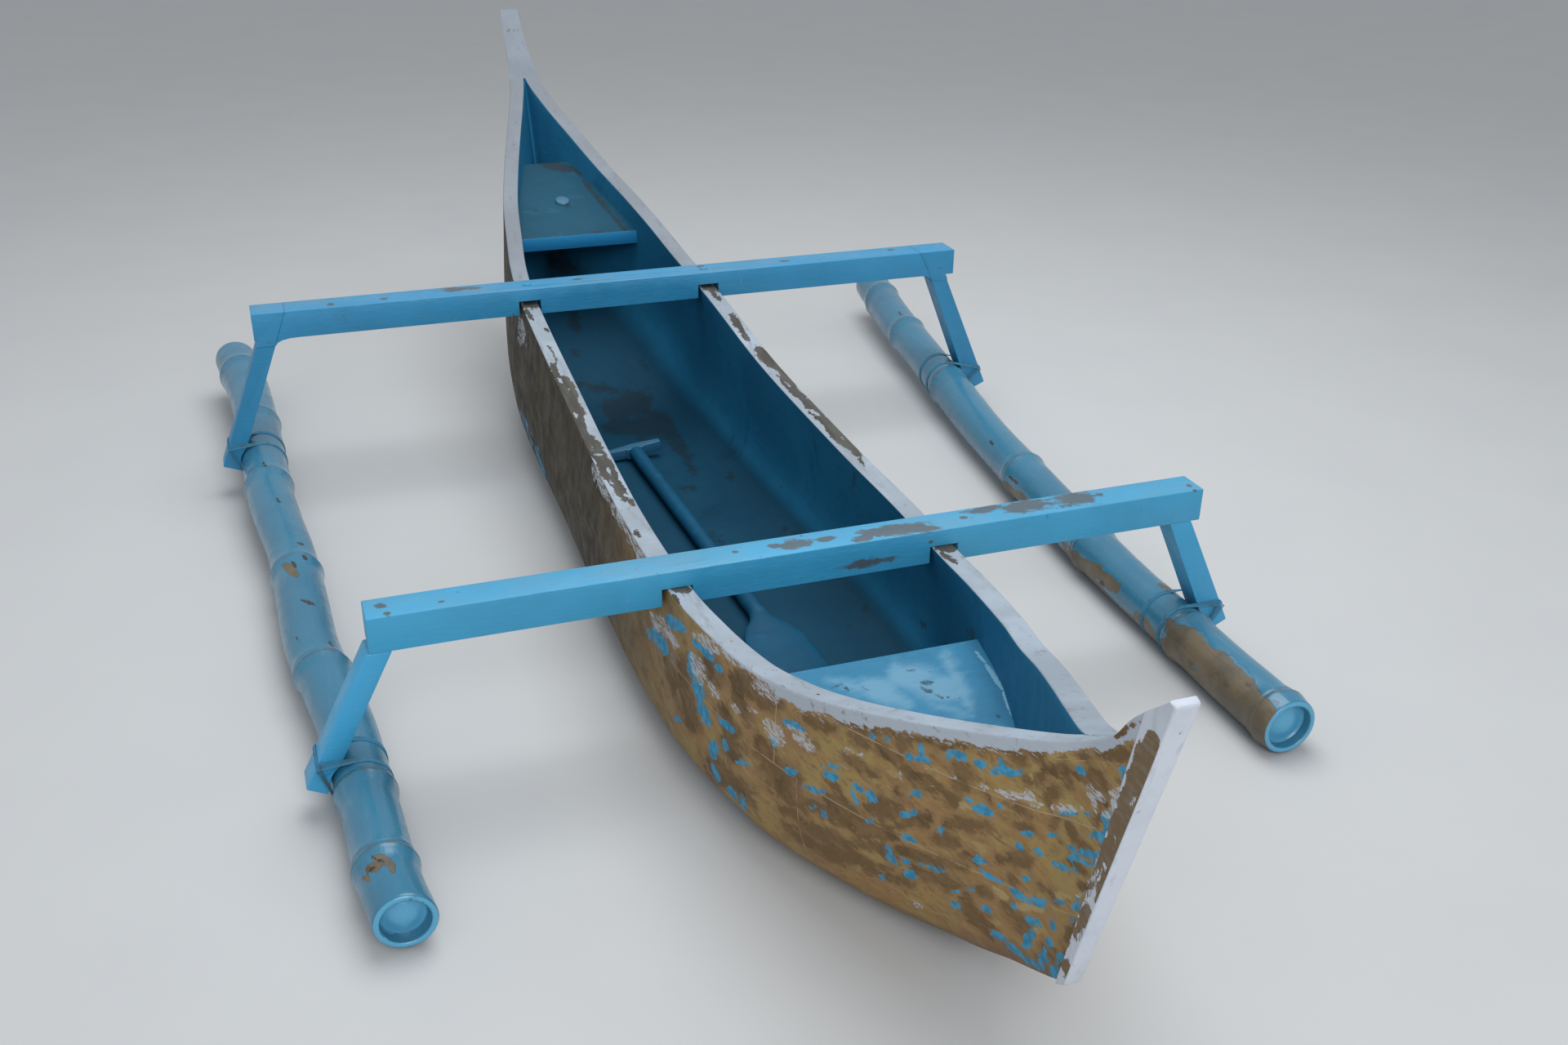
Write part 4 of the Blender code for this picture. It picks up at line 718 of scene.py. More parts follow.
class Paint:
    """Material in the making: each call adds nodes and gives back the socket with the result."""

    def __init__(self, name):
        self.mat = bpy.data.materials.new(name)
        self.mat.use_nodes = True
        self.tree = self.mat.node_tree
        self.shader = self.tree.nodes["Principled BSDF"]
        self.place = self.add("ShaderNodeTexCoord").outputs["Object"]

    def add(self, kind, **settings):
        """New node with its settings."""
        node = self.tree.nodes.new(kind)
        for key, value in settings.items():
            setattr(node, key, value)
        return node

    def feed(self, socket, value):
        """Links a socket into another, or sets it to a number or a colour."""
        if isinstance(value, bpy.types.NodeSocket):
            self.tree.links.new(value, socket)
        elif socket.type == "RGBA":
            socket.default_value = (*value, 1.0)
        else:
            socket.default_value = value

    def math(self, operation, *values):
        """Result of one operation on numbers or sockets."""
        node = self.add("ShaderNodeMath", operation=operation)
        for socket, value in zip(node.inputs, values):
            self.feed(socket, value)
        return node.outputs[0]

    def field(self, name):
        """Value that the mesh carries at each point."""
        return self.add("ShaderNodeAttribute", attribute_name=name).outputs["Fac"]

    def noise(self, scale, detail=4.0, rough=0.55, distort=0.0, stretch=(1, 1, 1), turn=(0, 0, 0),
              offset=(0, 0, 0)):
        """Noise around 0.5, drawn out along turned axes by the stretch."""
        moved = self.add("ShaderNodeMapping", vector_type="TEXTURE")
        self.feed(moved.inputs["Vector"], self.place)
        moved.inputs["Scale"].default_value = stretch
        moved.inputs["Rotation"].default_value = turn
        moved.inputs["Location"].default_value = offset
        node = self.add("ShaderNodeTexNoise")
        self.feed(node.inputs["Vector"], moved.outputs[0])
        node.inputs["Scale"].default_value = scale
        node.inputs["Detail"].default_value = detail
        node.inputs["Roughness"].default_value = rough
        node.inputs["Distortion"].default_value = distort
        return node.outputs["Fac"]

    def step(self, value, low, high, to=(0.0, 1.0)):
        """Smooth rise from low to high."""
        node = self.add("ShaderNodeMapRange", interpolation_type="SMOOTHSTEP")
        self.feed(node.inputs["Value"], value)
        self.feed(node.inputs["From Min"], low)
        self.feed(node.inputs["From Max"], high)
        self.feed(node.inputs["To Min"], to[0])
        self.feed(node.inputs["To Max"], to[1])
        return node.outputs[0]

    def torn(self, field, tear, *noises, soft=0.12):
        """Share of a field above 0 once noises move its edge by up to about the tear."""
        for noise in noises:
            moved = self.math("MULTIPLY_ADD", noise, 4.0 * tear, -2.0 * tear)
            field = self.math("ADD", field, moved)
        return self.step(field, -soft * tear, soft * tear)

    def mix(self, share, a, b):
        """Colour a where the share is 0, and b where it is 1."""
        node = self.add("ShaderNodeMix", data_type="RGBA")
        self.feed(node.inputs[0], share)
        self.feed(node.inputs[6], a)
        self.feed(node.inputs[7], b)
        return node.outputs[2]

    def fold(self, operation, values):
        """One operation on the first two values, then on its result and the next."""
        result = values[0]
        for value in values[1:]:
            result = self.math(operation, result, value)
        return result

    def both(self, *values):
        """Share that every value allows."""
        return self.fold("MULTIPLY", values)

    def most(self, *values):
        """Largest of the values."""
        return self.fold("MAXIMUM", values)

    def blend(self, base, *layers):
        """Lays (share, colour) coats over a base colour, in order."""
        for share, colour in layers:
            base = self.mix(share, base, colour)
        return base

    def facing(self, which):
        """Component of the surface normal along one axis."""
        node = self.add("ShaderNodeSeparateXYZ")
        self.feed(node.inputs[0], self.add("ShaderNodeNewGeometry").outputs["Normal"])
        return node.outputs[which]

    def near_line(self, field, place, half):
        """Share of a thin line where a field has one value."""
        away = self.math("ABSOLUTE", self.math("SUBTRACT", field, place))
        return self.step(away, half * LINE_CORE, half * LINE_EDGE, (1.0, 0.0))

    def spots(self, marks):
        """Field above 0 inside each ((x, y, z), (rx, ry, rz)) mark."""
        result = -1.0
        for centre, radii in marks:
            away = self.add("ShaderNodeVectorMath", operation="SUBTRACT")
            self.feed(away.inputs[0], self.place)
            away.inputs[1].default_value = centre
            scaled = self.add("ShaderNodeVectorMath", operation="DIVIDE")
            self.feed(scaled.inputs[0], away.outputs[0])
            scaled.inputs[1].default_value = radii
            length = self.add("ShaderNodeVectorMath", operation="LENGTH")
            self.feed(length.inputs[0], scaled.outputs[0])
            result = self.math("MAXIMUM", result, self.math("SUBTRACT", 1.0, length.outputs["Value"]))
        return result

    def finish(self, colour, roughness, height=None, deep=0.001, coat=0.0, gloss=0.5):
        """Feeds the shader, with a bump of some depth where a height is given."""
        self.feed(self.shader.inputs["Base Color"], colour)
        self.feed(self.shader.inputs["Roughness"], roughness)
        self.shader.inputs["Specular IOR Level"].default_value = gloss
        self.shader.inputs["Coat Weight"].default_value = coat
        self.shader.inputs["Coat Roughness"].default_value = COAT_ROUGH
        if height is not None:
            bump = self.add("ShaderNodeBump")
            bump.inputs["Distance"].default_value = deep
            bump.inputs["Strength"].default_value = 1.0
            self.feed(bump.inputs["Height"], height)
            self.feed(self.shader.inputs["Normal"], bump.outputs[0])
        return self.mat


def shade(colour, factor, lift=0.0):
    """Colour made darker or lighter, with no channel above 1."""
    return tuple(min(1.0, factor * c + lift) for c in colour)


def sky_paint(name, base, marks=()):
    """Sky-blue paint, chalky where it faces up, worn to the wood at the marks."""
    p = Paint(name)
    up = p.step(p.facing("Z"), 0.5, 0.9)
    cloudy = p.noise(7, 5, 0.6)
    grain = p.noise(34, 5, 0.6, stretch=(7, 1, 1))
    scuffed = p.both(up, p.step(p.noise(9, 6, 0.68, stretch=(2.5, 1, 1)), 0.42, 0.66, (0.1, 0.8)))
    layers = [
        (p.step(cloudy, 0.35, 0.75, (0.0, 0.55)), shade(base, 0.80)),
        (p.step(p.noise(3, 4, 0.6, offset=(4, 1, 2)), 0.45, 0.7, (0.0, 0.4)), shade(base, 1.18)),
        (scuffed, tuple(fade * c + chalk for fade, c, chalk in zip(SCUFF_FADE, base, SCUFF_CHALK))),
        (p.both(up, p.step(grain, 0.58, 0.72, (0.0, 0.35))), (0.060, 0.130, 0.180)),
        (p.step(p.noise(46, 5, 0.7, offset=(8, 3, 1)), 0.66, 0.72, (0.0, 0.7)), (0.050, 0.085, 0.100)),
        (p.step(p.noise(90, 3, 0.6, offset=(1, 5, 9)), 0.70, 0.73, (0.0, 0.6)), (0.180, 0.330, 0.430)),
    ]
    if marks:
        bare = p.torn(p.spots(marks), 0.75, p.noise(70, 6, 0.68, stretch=(2, 1, 1)), soft=0.3)
        layers.append((p.both(bare, 0.85), p.mix(p.noise(60, 4, 0.6), STAINED_WOOD, DRY_WOOD)))
    rough = p.step(p.noise(30, 4), 0.3, 0.7, (0.36, 0.54))
    height = p.math("ADD", p.noise(150, 4, 0.6, stretch=(4, 1, 1)), p.noise(22, 2))
    return p.finish(p.blend(base, *layers), rough, height, 0.0008)


def bamboo_paint():
    """Glossy blue over bamboo, with bare patches, grimy node rings and small knocks."""
    p = Paint("bamboo_paint")
    fibre = p.noise(90, 4, 0.6, stretch=(1, 16, 1))
    fine = p.noise(110, 5, 0.65, stretch=(1, 2.2, 1))
    bare = p.both(p.torn(p.field("bare"), 3.0, fine), p.step(p.facing("Y"), -0.8, -0.5))
    blue_left = p.torn(p.field("blue"), 3.0, p.noise(90, 5, 0.65, stretch=(1, 1.6, 1), offset=(3, 3, 3)))
    dark = p.torn(p.field("dark"), 1.4, p.noise(160, 4, 0.6))
    ring = p.field("ring")
    node_grime = p.both(p.step(ring, 0.35, 0.9), p.step(p.noise(60, 4, 0.6), 0.42, 0.60, (0.1, 0.75)))
    wood = p.blend(
        CULM_WOOD,
        (p.step(p.noise(14, 5, 0.6), 0.4, 0.65), CULM_TAN),
        (p.step(p.noise(55, 5, 0.7, stretch=(1, 3, 1)), 0.56, 0.66, (0.0, 0.8)), CULM_DARK),
    )
    colour = p.blend(
        CULM_BLUE,
        (p.step(p.noise(6, 4), 0.4, 0.7, (0.0, 0.75)), CULM_SHADE),
        (p.step(fibre, 0.54, 0.74, (0.0, 0.35)), (0.085, 0.245, 0.350)),
        (p.step(p.noise(10, 5, 0.65, stretch=(1, 4, 1), offset=(2, 9, 4)), 0.62, 0.76, (0.0, 0.5)),
         (0.120, 0.300, 0.420)),
        # Painted light: the fore end faces, turned to -Y, get a lighter blue.
        (p.step(p.facing("Y"), -0.85, -0.5, (1.0, 0.0)), CULM_LIT_END),
        (p.step(p.noise(34, 6, 0.7, stretch=(1, 2, 1)), 0.665, 0.70, (0.0, 0.85)), (0.095, 0.085, 0.068)),
        (node_grime, (0.055, 0.095, 0.105)),
        (p.both(bare, p.math("SUBTRACT", 1.0, blue_left)), wood),
        (dark, DIRT),
    )
    rough = p.math("ADD", p.step(p.noise(24, 4), 0.3, 0.7, (0.20, 0.36)), p.math("MULTIPLY", bare, 0.25))
    height = p.math("SUBTRACT", p.math("ADD", fibre, p.noise(14, 3)), p.math("MULTIPLY", bare, 0.8))
    return p.finish(colour, rough, height, 0.0010, coat=0.25)


def side_colour(p):
    """Scraped outside of the hull: tan filler, brown wipes and flecks of old blue and white."""
    slant = {"turn": (0.30, 0, 0)}
    fine = p.noise(120, 5, 0.65, stretch=(1, 2.4, 1), **slant)
    coarse = p.noise(42, 4, 0.6, 0.4, stretch=(1, 2.2, 1), offset=(5, 1, 3), **slant)
    broad = p.noise(19, 3, 0.6, 0.8, stretch=(1, 1.8, 1), offset=(2, 6, 3), **slant)
    dry = p.noise(240, 4, 0.7, stretch=(1, 6, 1))
    station = p.field("station")
    aft = p.step(p.math("ADD", station, p.math("MULTIPLY", broad, 0.35)), -0.80, -0.05)
    wiped = p.torn(p.field("brown"), 6.0, fine, coarse, broad, soft=0.45)
    halo = p.torn(p.math("ADD", p.field("brown"), 4.0), 7.0, coarse, broad, soft=0.8)
    streak = p.step(p.noise(13, 6, 0.66, 0.5, stretch=(1, 3.2, 1), offset=(7, 3, 9), **slant), 0.44, 0.56)
    small = p.step(p.noise(62, 5, 0.68, 0.3, stretch=(1, 2.4, 1), offset=(9, 2, 6), **slant), 0.56, 0.64)
    reddish = p.noise(30, 5, 0.65, 0.5, stretch=(1, 2.2, 1), offset=(1, 1, 8), **slant)
    brownish = p.noise(58, 5, 0.68, stretch=(1, 2.5, 1), offset=(4, 2, 2), **slant)
    creamy = p.noise(50, 4, 0.65, stretch=(1, 3, 1), offset=(4, 8, 8), **slant)
    tan = p.blend(
        TAN,
        (p.step(p.noise(6, 5, 0.62, offset=(7, 2, 1)), 0.44, 0.62, (0.0, 0.9)), OLIVE),
        (p.step(reddish, 0.46, 0.60, (0.0, 0.75)), RED_TAN),
        (p.step(brownish, 0.52, 0.62, (0.0, 0.6)), MID_BROWN),
        (p.step(creamy, 0.57, 0.68, (0.0, 0.6)), CREAM),
    )
    brown = p.blend(
        BROWN,
        (p.step(p.noise(50, 5, 0.7, stretch=(1, 3, 1), **slant), 0.46, 0.62, (0.0, 0.7)), MID_BROWN),
        (p.step(p.noise(22, 4, 0.6, offset=(2, 2, 5)), 0.52, 0.66, (0.0, 0.7)), DARK_BROWN),
    )
    bow_side = p.blend(
        tan,
        (p.both(halo, 0.8), MID_BROWN),
        (p.torn(p.field("cream"), 4.0, fine, coarse, soft=0.5), CREAM),
        (p.both(small, 0.6), BROWN),
        (wiped, brown),
        (p.step(p.noise(190, 3, 0.6, stretch=(1, 12, 1), offset=(1, 4, 4)), 0.62, 0.70, (0.0, 0.35)), CREAM),
    )
    # Aft side: painted shade, the same scraped brown made much darker, blended in by the aft mask.
    shaded_aft_side = p.blend(
        AFT_OLIVE,
        (p.step(p.noise(8, 5, 0.62, stretch=(1, 2, 1)), 0.42, 0.60), AFT_SHADE),
        (p.both(streak, 0.85), AFT_STREAK),
        (p.step(p.noise(40, 6, 0.7, stretch=(1, 4, 1), offset=(3, 3, 1), **slant), 0.57, 0.68, (0.0, 0.8)),
         AFT_DRY),
        (p.step(p.noise(70, 5, 0.7, stretch=(1, 3, 1), offset=(6, 1, 1), **slant), 0.66, 0.72, (0.0, 0.5)),
         AFT_GREY),
    )
    low = p.math("ADD", p.field("above_keel"), p.math("MULTIPLY", coarse, 0.06))
    low = p.step(low, 0.035, 0.085, (0.75, 0.0))
    colour = p.blend(p.mix(aft, bow_side, shaded_aft_side), (low, p.mix(aft, LOW_BOW, LOW_AFT)))
    blue = p.torn(p.math("ADD", p.field("blue"), 1.0), 4.2, fine, coarse, soft=0.25)
    white_field = p.math("ADD", p.field("white"), 0.8)
    white = p.both(p.torn(white_field, 4.2, fine, coarse, soft=0.25), p.step(dry, 0.44, 0.53, (0.10, 1.0)))
    over_a, over_b = p.field("seam_a"), p.field("seam_b")
    seams = p.most(
        p.near_line(over_a, 0.0, SEAM_HALF),
        p.both(p.near_line(over_b, 0.0, SEAM_HALF), p.step(station, *SEAM_B_END, (1.0, 0.0))),
        p.both(p.near_line(station, UPPER_BUTT, SEAM_HALF), p.step(over_a, -0.001, 0.001)),
        p.both(p.near_line(station, LOWER_BUTT, SEAM_HALF), p.step(over_a, -0.001, 0.001, (1.0, 0.0))),
        p.both(p.near_line(station, CHEEK_BUTT, CHEEK_HALF), p.step(over_b, -0.001, 0.001, (0.0, 0.8))),
        p.step(p.field("line"), -0.8, 0.6),
    )
    seams_left = p.step(p.noise(24, 4, 0.6, offset=(1, 7, 4)), 0.40, 0.52, (0.15, 0.9))
    lines = p.both(seams, seams_left, p.step(station, -0.95, -0.75, (1.0, 0.25)))
    band_edge = p.math("ADD", p.math("MULTIPLY", fine, 0.014), p.math("MULTIPLY", coarse, 0.022))
    band_depth_left = p.math("ADD", p.field("band"), p.math("SUBTRACT", band_edge, 0.018))
    band = p.step(band_depth_left, -0.0012, 0.0012)
    brushed = p.both(p.step(band_depth_left, -0.012, -0.002), p.step(dry, 0.54, 0.60))
    band_dirt = p.step(p.noise(60, 5, 0.7, offset=(5, 5, 2)), 0.58, 0.70, (0.0, 0.7))
    return p.blend(
        colour,
        (lines, PUTTY),
        (blue, p.mix(p.step(p.noise(80, 4), 0.40, 0.62), FLECK, OLD_BLUE)),
        (white, OLD_WHITE),
        (p.most(band, brushed), p.mix(band_dirt, BAND_WHITE, BAND_DIRT)),
        (p.torn(p.field("wipe"), 4.0, fine, soft=0.3), brown),
    ), fine


def hull_paint():
    """Scraped sides, worn white gunwales and a deep blue inside, told apart by the zone field."""
    p = Paint("hull_scraped_paint")
    zone = p.field("zone")
    inside = p.step(zone, -0.75, -0.55)
    outside = p.step(zone, 0.55, 0.75)
    side, fine = side_colour(p)
    grain = p.noise(46, 5, 0.65, stretch=(1, 7, 1))
    rim_bare = p.torn(p.field("bare"), 3.0, p.noise(110, 5, 0.65, stretch=(1, 1.8, 1)))
    flake = p.torn(p.field("flake"), 1.6, p.noise(150, 4, 0.65))
    rim = p.blend(
        RIM_WHITE,
        (p.step(p.noise(5, 4, 0.6), 0.42, 0.66, (0.0, 0.8)), RIM_BRIGHT),
        (p.step(grain, 0.54, 0.70, (0.0, 0.6)), (0.230, 0.245, 0.262)),
        (p.step(p.noise(70, 6, 0.72, stretch=(1, 2, 1)), 0.60, 0.66, (0.0, 0.6)), (0.170, 0.165, 0.155)),
        (p.step(p.field("station"), 0.35, 0.75, (0.0, 0.6)), (0.185, 0.190, 0.205)),
        (p.both(rim_bare, p.math("SUBTRACT", 1.0, flake)),
         p.mix(p.step(grain, 0.42, 0.62), RIM_BARE, GREY_BARE)),
    )
    stain = p.torn(p.field("stain"), 6.0, p.noise(60, 5, 0.65), p.noise(18, 4, 0.6), soft=0.6)
    blue = p.blend(
        DEEP,
        (p.step(p.noise(4, 5, 0.62), 0.40, 0.68, (0.0, 0.75)), (0.021, 0.178, 0.325)),
        (p.step(p.noise(9, 6, 0.7, stretch=(1, 1, 3), offset=(3, 1, 1)), 0.58, 0.70, (0.0, 0.6)),
         (0.010, 0.085, 0.160)),
        (p.step(p.noise(36, 5, 0.7, offset=(6, 2, 2)), 0.64, 0.72, (0.0, 0.6)), (0.050, 0.200, 0.300)),
        (p.step(p.noise(52, 5, 0.7, offset=(2, 8, 2)), 0.675, 0.71, (0.0, 0.8)), (0.030, 0.050, 0.055)),
        (p.both(stain, 0.85), p.mix(p.noise(30, 4), (0.022, 0.034, 0.036), (0.052, 0.056, 0.050))),
    )
    # Painted light and shade inside: lighter towards the bow, and a painted shade over the faces that look
    # up, strongest aft of the front boom.
    blue = p.mix(p.step(p.field("station"), -1.05, -0.75, (0.6, 0.0)), blue, (0.024, 0.165, 0.285))
    floor_shade_mask = p.both(p.step(p.facing("Z"), 0.3, 0.8), p.step(p.field("station"), -0.85, -0.60, (0.40, 0.78)))
    blue = p.mix(floor_shade_mask, blue, (0.003, 0.024, 0.042))
    colour = p.mix(outside, p.mix(inside, blue, rim), side)
    rough = p.step(p.noise(26, 4), 0.3, 0.7, (0.46, 0.66))
    height = p.math("ADD", p.math("MULTIPLY", fine, 0.8), grain)
    return p.finish(colour, rough, height, 0.0009, gloss=0.12)


def post_paint(name, base):
    """White post, bare on its sides at the strokes, with flakes of white left there."""
    p = Paint(name)
    wipe = p.noise(110, 5, 0.65, stretch=(1, 2.5, 1.0))
    flecks = p.step(p.noise(330, 3, 0.6, stretch=(1, 1, 7)), 0.42, 0.52)
    flake = p.both(p.torn(p.field("flake"), 3.0, wipe), flecks)
    bare = p.both(p.torn(p.field("bare"), 3.2, wipe, soft=0.25), p.math("SUBTRACT", 1.0, flake))
    grain = p.noise(60, 4, 0.6, stretch=(1, 1, 8))
    colour = p.blend(
        base,
        (p.step(p.noise(9, 5, 0.62), 0.45, 0.68, (0.0, 0.7)), shade(base, 0.84)),
        (p.step(grain, 0.56, 0.70, (0.0, 0.5)), shade(base, 0.68)),
        (p.step(p.noise(80, 5, 0.7, offset=(3, 1, 6)), 0.655, 0.70, (0.0, 0.7)), (0.20, 0.17, 0.14)),
        (bare, p.mix(p.step(wipe, 0.45, 0.60), BROWN, POST_BARE)),
    )
    return p.finish(colour, 0.55, p.math("ADD", grain, p.math("MULTIPLY", bare, -0.8)), 0.0008)


def panel_paint(name, base, worn_colour, lit_edge_colour=None):
    """Board paint, chalky where it is worn, with smudges, filler and, where given, a brighter fore edge that
    is painted light.
    """
    p = Paint(name)
    up = p.step(p.facing("Z"), 0.6, 0.9)
    wipe = p.noise(22, 6, 0.68, stretch=(2.5, 1, 1), turn=(0, 0, 0.25))
    worn = p.step(p.math("MULTIPLY_ADD", wipe, 40.0, p.math("ADD", p.field("worn"), -20.0)), -6.0, 12.0)
    smudge = p.torn(p.field("smudge"), 2.5, p.noise(120, 5, 0.65), soft=0.6)
    filler = p.torn(p.field("filler"), 1.2, p.noise(140, 4, 0.6))
    colour = p.blend(
        base,
        (p.step(p.noise(5, 5, 0.62), 0.42, 0.66, (0.0, 0.7)), shade(base, 0.78)),
        (p.step(p.noise(26, 6, 0.7, stretch=(2, 1, 1), offset=(3, 3, 3)), 0.56, 0.70, (0.0, 0.5)),
         shade(base, 1.30, 0.01)),
        (p.both(up, worn, 0.8), worn_colour),
        (filler, FILLER),
        (p.step(p.noise(90, 4, 0.6, offset=(7, 7, 1)), 0.685, 0.715, (0.0, 0.8)), (0.055, 0.070, 0.075)),
        (p.both(smudge, 0.8), (0.026, 0.036, 0.040)),
    )
    # Painted light: faces turned to -Y take the brighter fore edge colour.
    if lit_edge_colour:
        colour = p.mix(p.step(p.facing("Y"), -0.9, -0.6, (1.0, 0.0)), colour, lit_edge_colour)
    rough = p.step(wipe, 0.3, 0.7, (0.42, 0.60))
    return p.finish(colour, rough, p.noise(60, 5, 0.6, stretch=(4, 1, 1)), 0.0008, gloss=0.16)


def cord_paint():
    """Cord painted over with the floats."""
    p = Paint("painted_cord")
    colour = p.blend(
        CORD_BLUE,
        (p.step(p.noise(45, 4, 0.6), 0.46, 0.64, (0.0, 0.8)), (0.065, 0.155, 0.205)),
        (p.step(p.noise(90, 3, 0.6, offset=(2, 2, 7)), 0.60, 0.66, (0.0, 0.7)), (0.085, 0.070, 0.050)),
    )
    return p.finish(colour, 0.7, p.noise(900, 2), 0.0004)


MATERIALS = {
    "hull": hull_paint(),
    "front_sky": sky_paint("front_sky_paint", SKY, flat_marks(FRONT_TOP_MARKS, 2, FRONT_TOP)
                           + flat_marks(FRONT_FACE_MARKS, 1, FRONT_BOOM)),
    "rear_sky": sky_paint("rear_sky_paint", REAR_SKY, flat_marks(REAR_TOP_MARKS, 2, REAR_TOP)),
    "strut": sky_paint("strut_sky_paint", STRUT_SKY),
    "bamboo": bamboo_paint(),
    "stem": post_paint("stem_white_paint", STEM_WHITE),
    "stern": post_paint("stern_white_paint", STERN_WHITE),
    "bench": panel_paint("bench_paint", BENCH_BLUE, BENCH_CHALK),
    "seat": panel_paint("seat_paint", SEAT_BLUE, SEAT_CHALK, SEAT_LIT_EDGE),
    "paddle": panel_paint("paddle_paint", PADDLE_BLUE, PADDLE_CHALK),
    "grip": sky_paint("grip_paint", GRIP_BLUE),
    "cord": cord_paint(),
}


def hull_half(section, outer_count, inner_count):
    """Half ring (x, z, zone) from the keel up the outside, over the gunwale and down the inside."""
    top, r = section.top, EDGE_ROUND
    outer = section.run(section.beam, top - section.keel, r, outer_count)[::-1]
    open_share = ease(section.inner / CLOSE_WIDE) * ease((STERN_JOINT - section.y) / CLOSE_LONG)
    depth = max((top - section.floor) * open_share, LEAST_DEPTH)
    inner = section.run(section.inner, depth, r * open_share, inner_count)
    if section.inner <= 0 or open_share <= 0:
        inner = np.c_[np.zeros(inner_count), np.full(inner_count, top)]
    ring = [(x, z, 1.0) for x, z in outer]
    r_in = min(r, section.inner) * open_share
    wide = outer[-1][0]
    for k in range(1, EDGE_STEPS + 1):
        a = math.pi / 2 * k / EDGE_STEPS
        ring.append((wide - r * (1 - math.cos(a)), top - r * (1 - math.sin(a)), 1 - k / EDGE_STEPS))
    start = wide - r
    lip = min(section.inner + r_in, start)
    for k in range(1, RIM_STEPS):
        ring.append((start + (lip - start) * k / (RIM_STEPS - 1), top, 0.0))
    for k in range(1, EDGE_STEPS):
        a = math.pi / 2 * k / EDGE_STEPS
        ring.append((lip - r_in * math.sin(a), top - r_in * (1 - math.cos(a)), -k / EDGE_STEPS))
    ring += [(x, z, -1.0) for x, z in inner]
    return np.array(ring)


def hull_marks(points, zone):
    """Fields for the paint marks: outside both sides, on the gunwales, and inside."""
    mirrored = points * (-1, 1, 1)
    port = points[:, 0] > 0
    true = photo_pixels(points)
    side = np.where(port[:, None], photo_pixels(mirrored) + PORT_SHIFT, true)
    outside, rim = (zone > OUTSIDE_ZONE) & (points[:, 1] < SIDE_MARKS_TO), np.abs(zone) < RIM_ZONE
    inside = (zone < -RIM_ZONE) & (points[:, 0] > INSIDE_MARKS_FROM)
    fields = {name: stroke_depth(side, strokes, outside) for name, strokes in
              (("brown", BROWN_STROKES), ("blue", BLUE_STROKES), ("white", WHITE_STROKES),
               ("cream", CREAM_STROKES), ("line", LINE_STROKES), ("wipe", WIPE_STROKES))}
    fields["bare"] = stroke_depth(true, BARE_RIM_STROKES, rim)
    fields["flake"] = stroke_depth(true, RIM_FLAKE_STROKES, rim)
    fields["stain"] = stroke_depth(true, STAIN_STROKES, inside)
    return fields


def make_shell(name, places, counts, nodes):
    """Closed skin through the hull's sections, with the fields that its paint reads."""
    rings, fields = [], {key: [] for key in ("zone", "band", "station", "seam_a", "seam_b", "above_keel")}
    for y in places:
        section = Section(y)
        half = hull_half(section, counts["outer"], counts["inner"])
        ring = np.r_[half, (half * (-1, 1, 1))[-2:0:-1]]
        x, z, zone = ring.T
        rings.append(np.c_[x, section.along(z), z])
        fields["zone"].append(zone)
        fields["band"].append(float(band_depth(y)) - (section.top - z))
        fields["station"].append(np.full(len(z), y))
        fields["seam_a"].append(z - float(seam_a(y)))
        fields["seam_b"].append(z - float(seam_b(y)))
        fields["above_keel"].append(z - section.keel)
    points = np.concatenate(rings)
    fields = {key: np.concatenate(values) for key, values in fields.items()}
    fields.update(hull_marks(points, fields["zone"]))
    add_piece(name, points, grid_faces(len(rings), len(rings[0])), MATERIALS["hull"],
              nodes, fields, sharp=HULL_SHARP)


def make_hull():
    """Two shells that meet aft of the bow planks, the main one finer towards the bow."""
    bow = np.linspace(BOW_JOINT, SHELL_SPLIT, BOW_SHELL["rings"])
    share = np.linspace(0, 1, MAIN_SHELL["rings"])
    spread = MAIN_EVEN * share + MAIN_CROWDED * share ** MAIN_POWER
    main = SHELL_SPLIT + (STERN_JOINT - SHELL_SPLIT) * spread
    make_shell("hull_bow_shell", bow, BOW_SHELL, BOW_NODES)
    make_shell("hull_main_shell", main, MAIN_SHELL, MAIN_NODES)


def run_between(stations, count):
    """Points spread evenly by number along a row of (half-width, y, z) points."""
    stations = np.array(stations)
    want = np.linspace(0, len(stations) - 1, count)
    return np.c_[[np.interp(want, np.arange(len(stations)), column) for column in stations.T]].T


def make_post(name, near, far, strokes, node, mat):
    """Solid post between two long faces, with softened edges on the far face."""
    near, far = run_between(near, POST_ROWS), run_between(far, POST_ROWS)
    rings = []
    for row, (a, b) in enumerate(zip(near, far)):
        inset = POST_END_INSET if row in (0, POST_ROWS - 1) else 0.0
        length = math.hypot(b[1] - a[1], b[2] - a[2])
        way = (b[1:] - a[1:]) / length
        r = min(POST_ROUND, b[0] * POST_ROUND_MOST)
        side = [(a[0] + (b[0] - a[0]) * t * (length - r) / length, t * (length - r))
                for t in np.linspace(0, 1, POST_SIDE)]
        side += [(b[0] - r * (1 - math.cos(t)), length - r * (1 - math.sin(t))) for t in POST_BENDS]
        side += [((b[0] - r) * t, length) for t in POST_FACE_SHARES]
        half = np.array(side) - (inset, inset)
        ring = np.r_[half, (half * (-1, 1))[::-1]]
        rings.append([(x, a[1] + way[0] * s, a[2] + way[1] * s) for x, s in ring])
    points = np.concatenate(rings)
    starboard = np.c_[-np.abs(points[:, 0]), points[:, 1:]]
    pixels = photo_pixels(starboard)
    step = np.tile(np.arange(len(rings[0])), POST_ROWS)
    side = (step < POST_SIDE) | (step >= len(rings[0]) - POST_SIDE)
    fields = {"bare": stroke_depth(pixels, strokes, side),
              "flake": stroke_depth(pixels, STEM_FLAKE_STROKES, side)}
    add_piece(name, points, grid_faces(POST_ROWS, len(rings[0])), MATERIALS[mat], [node],
              fields, sharp=HULL_SHARP)


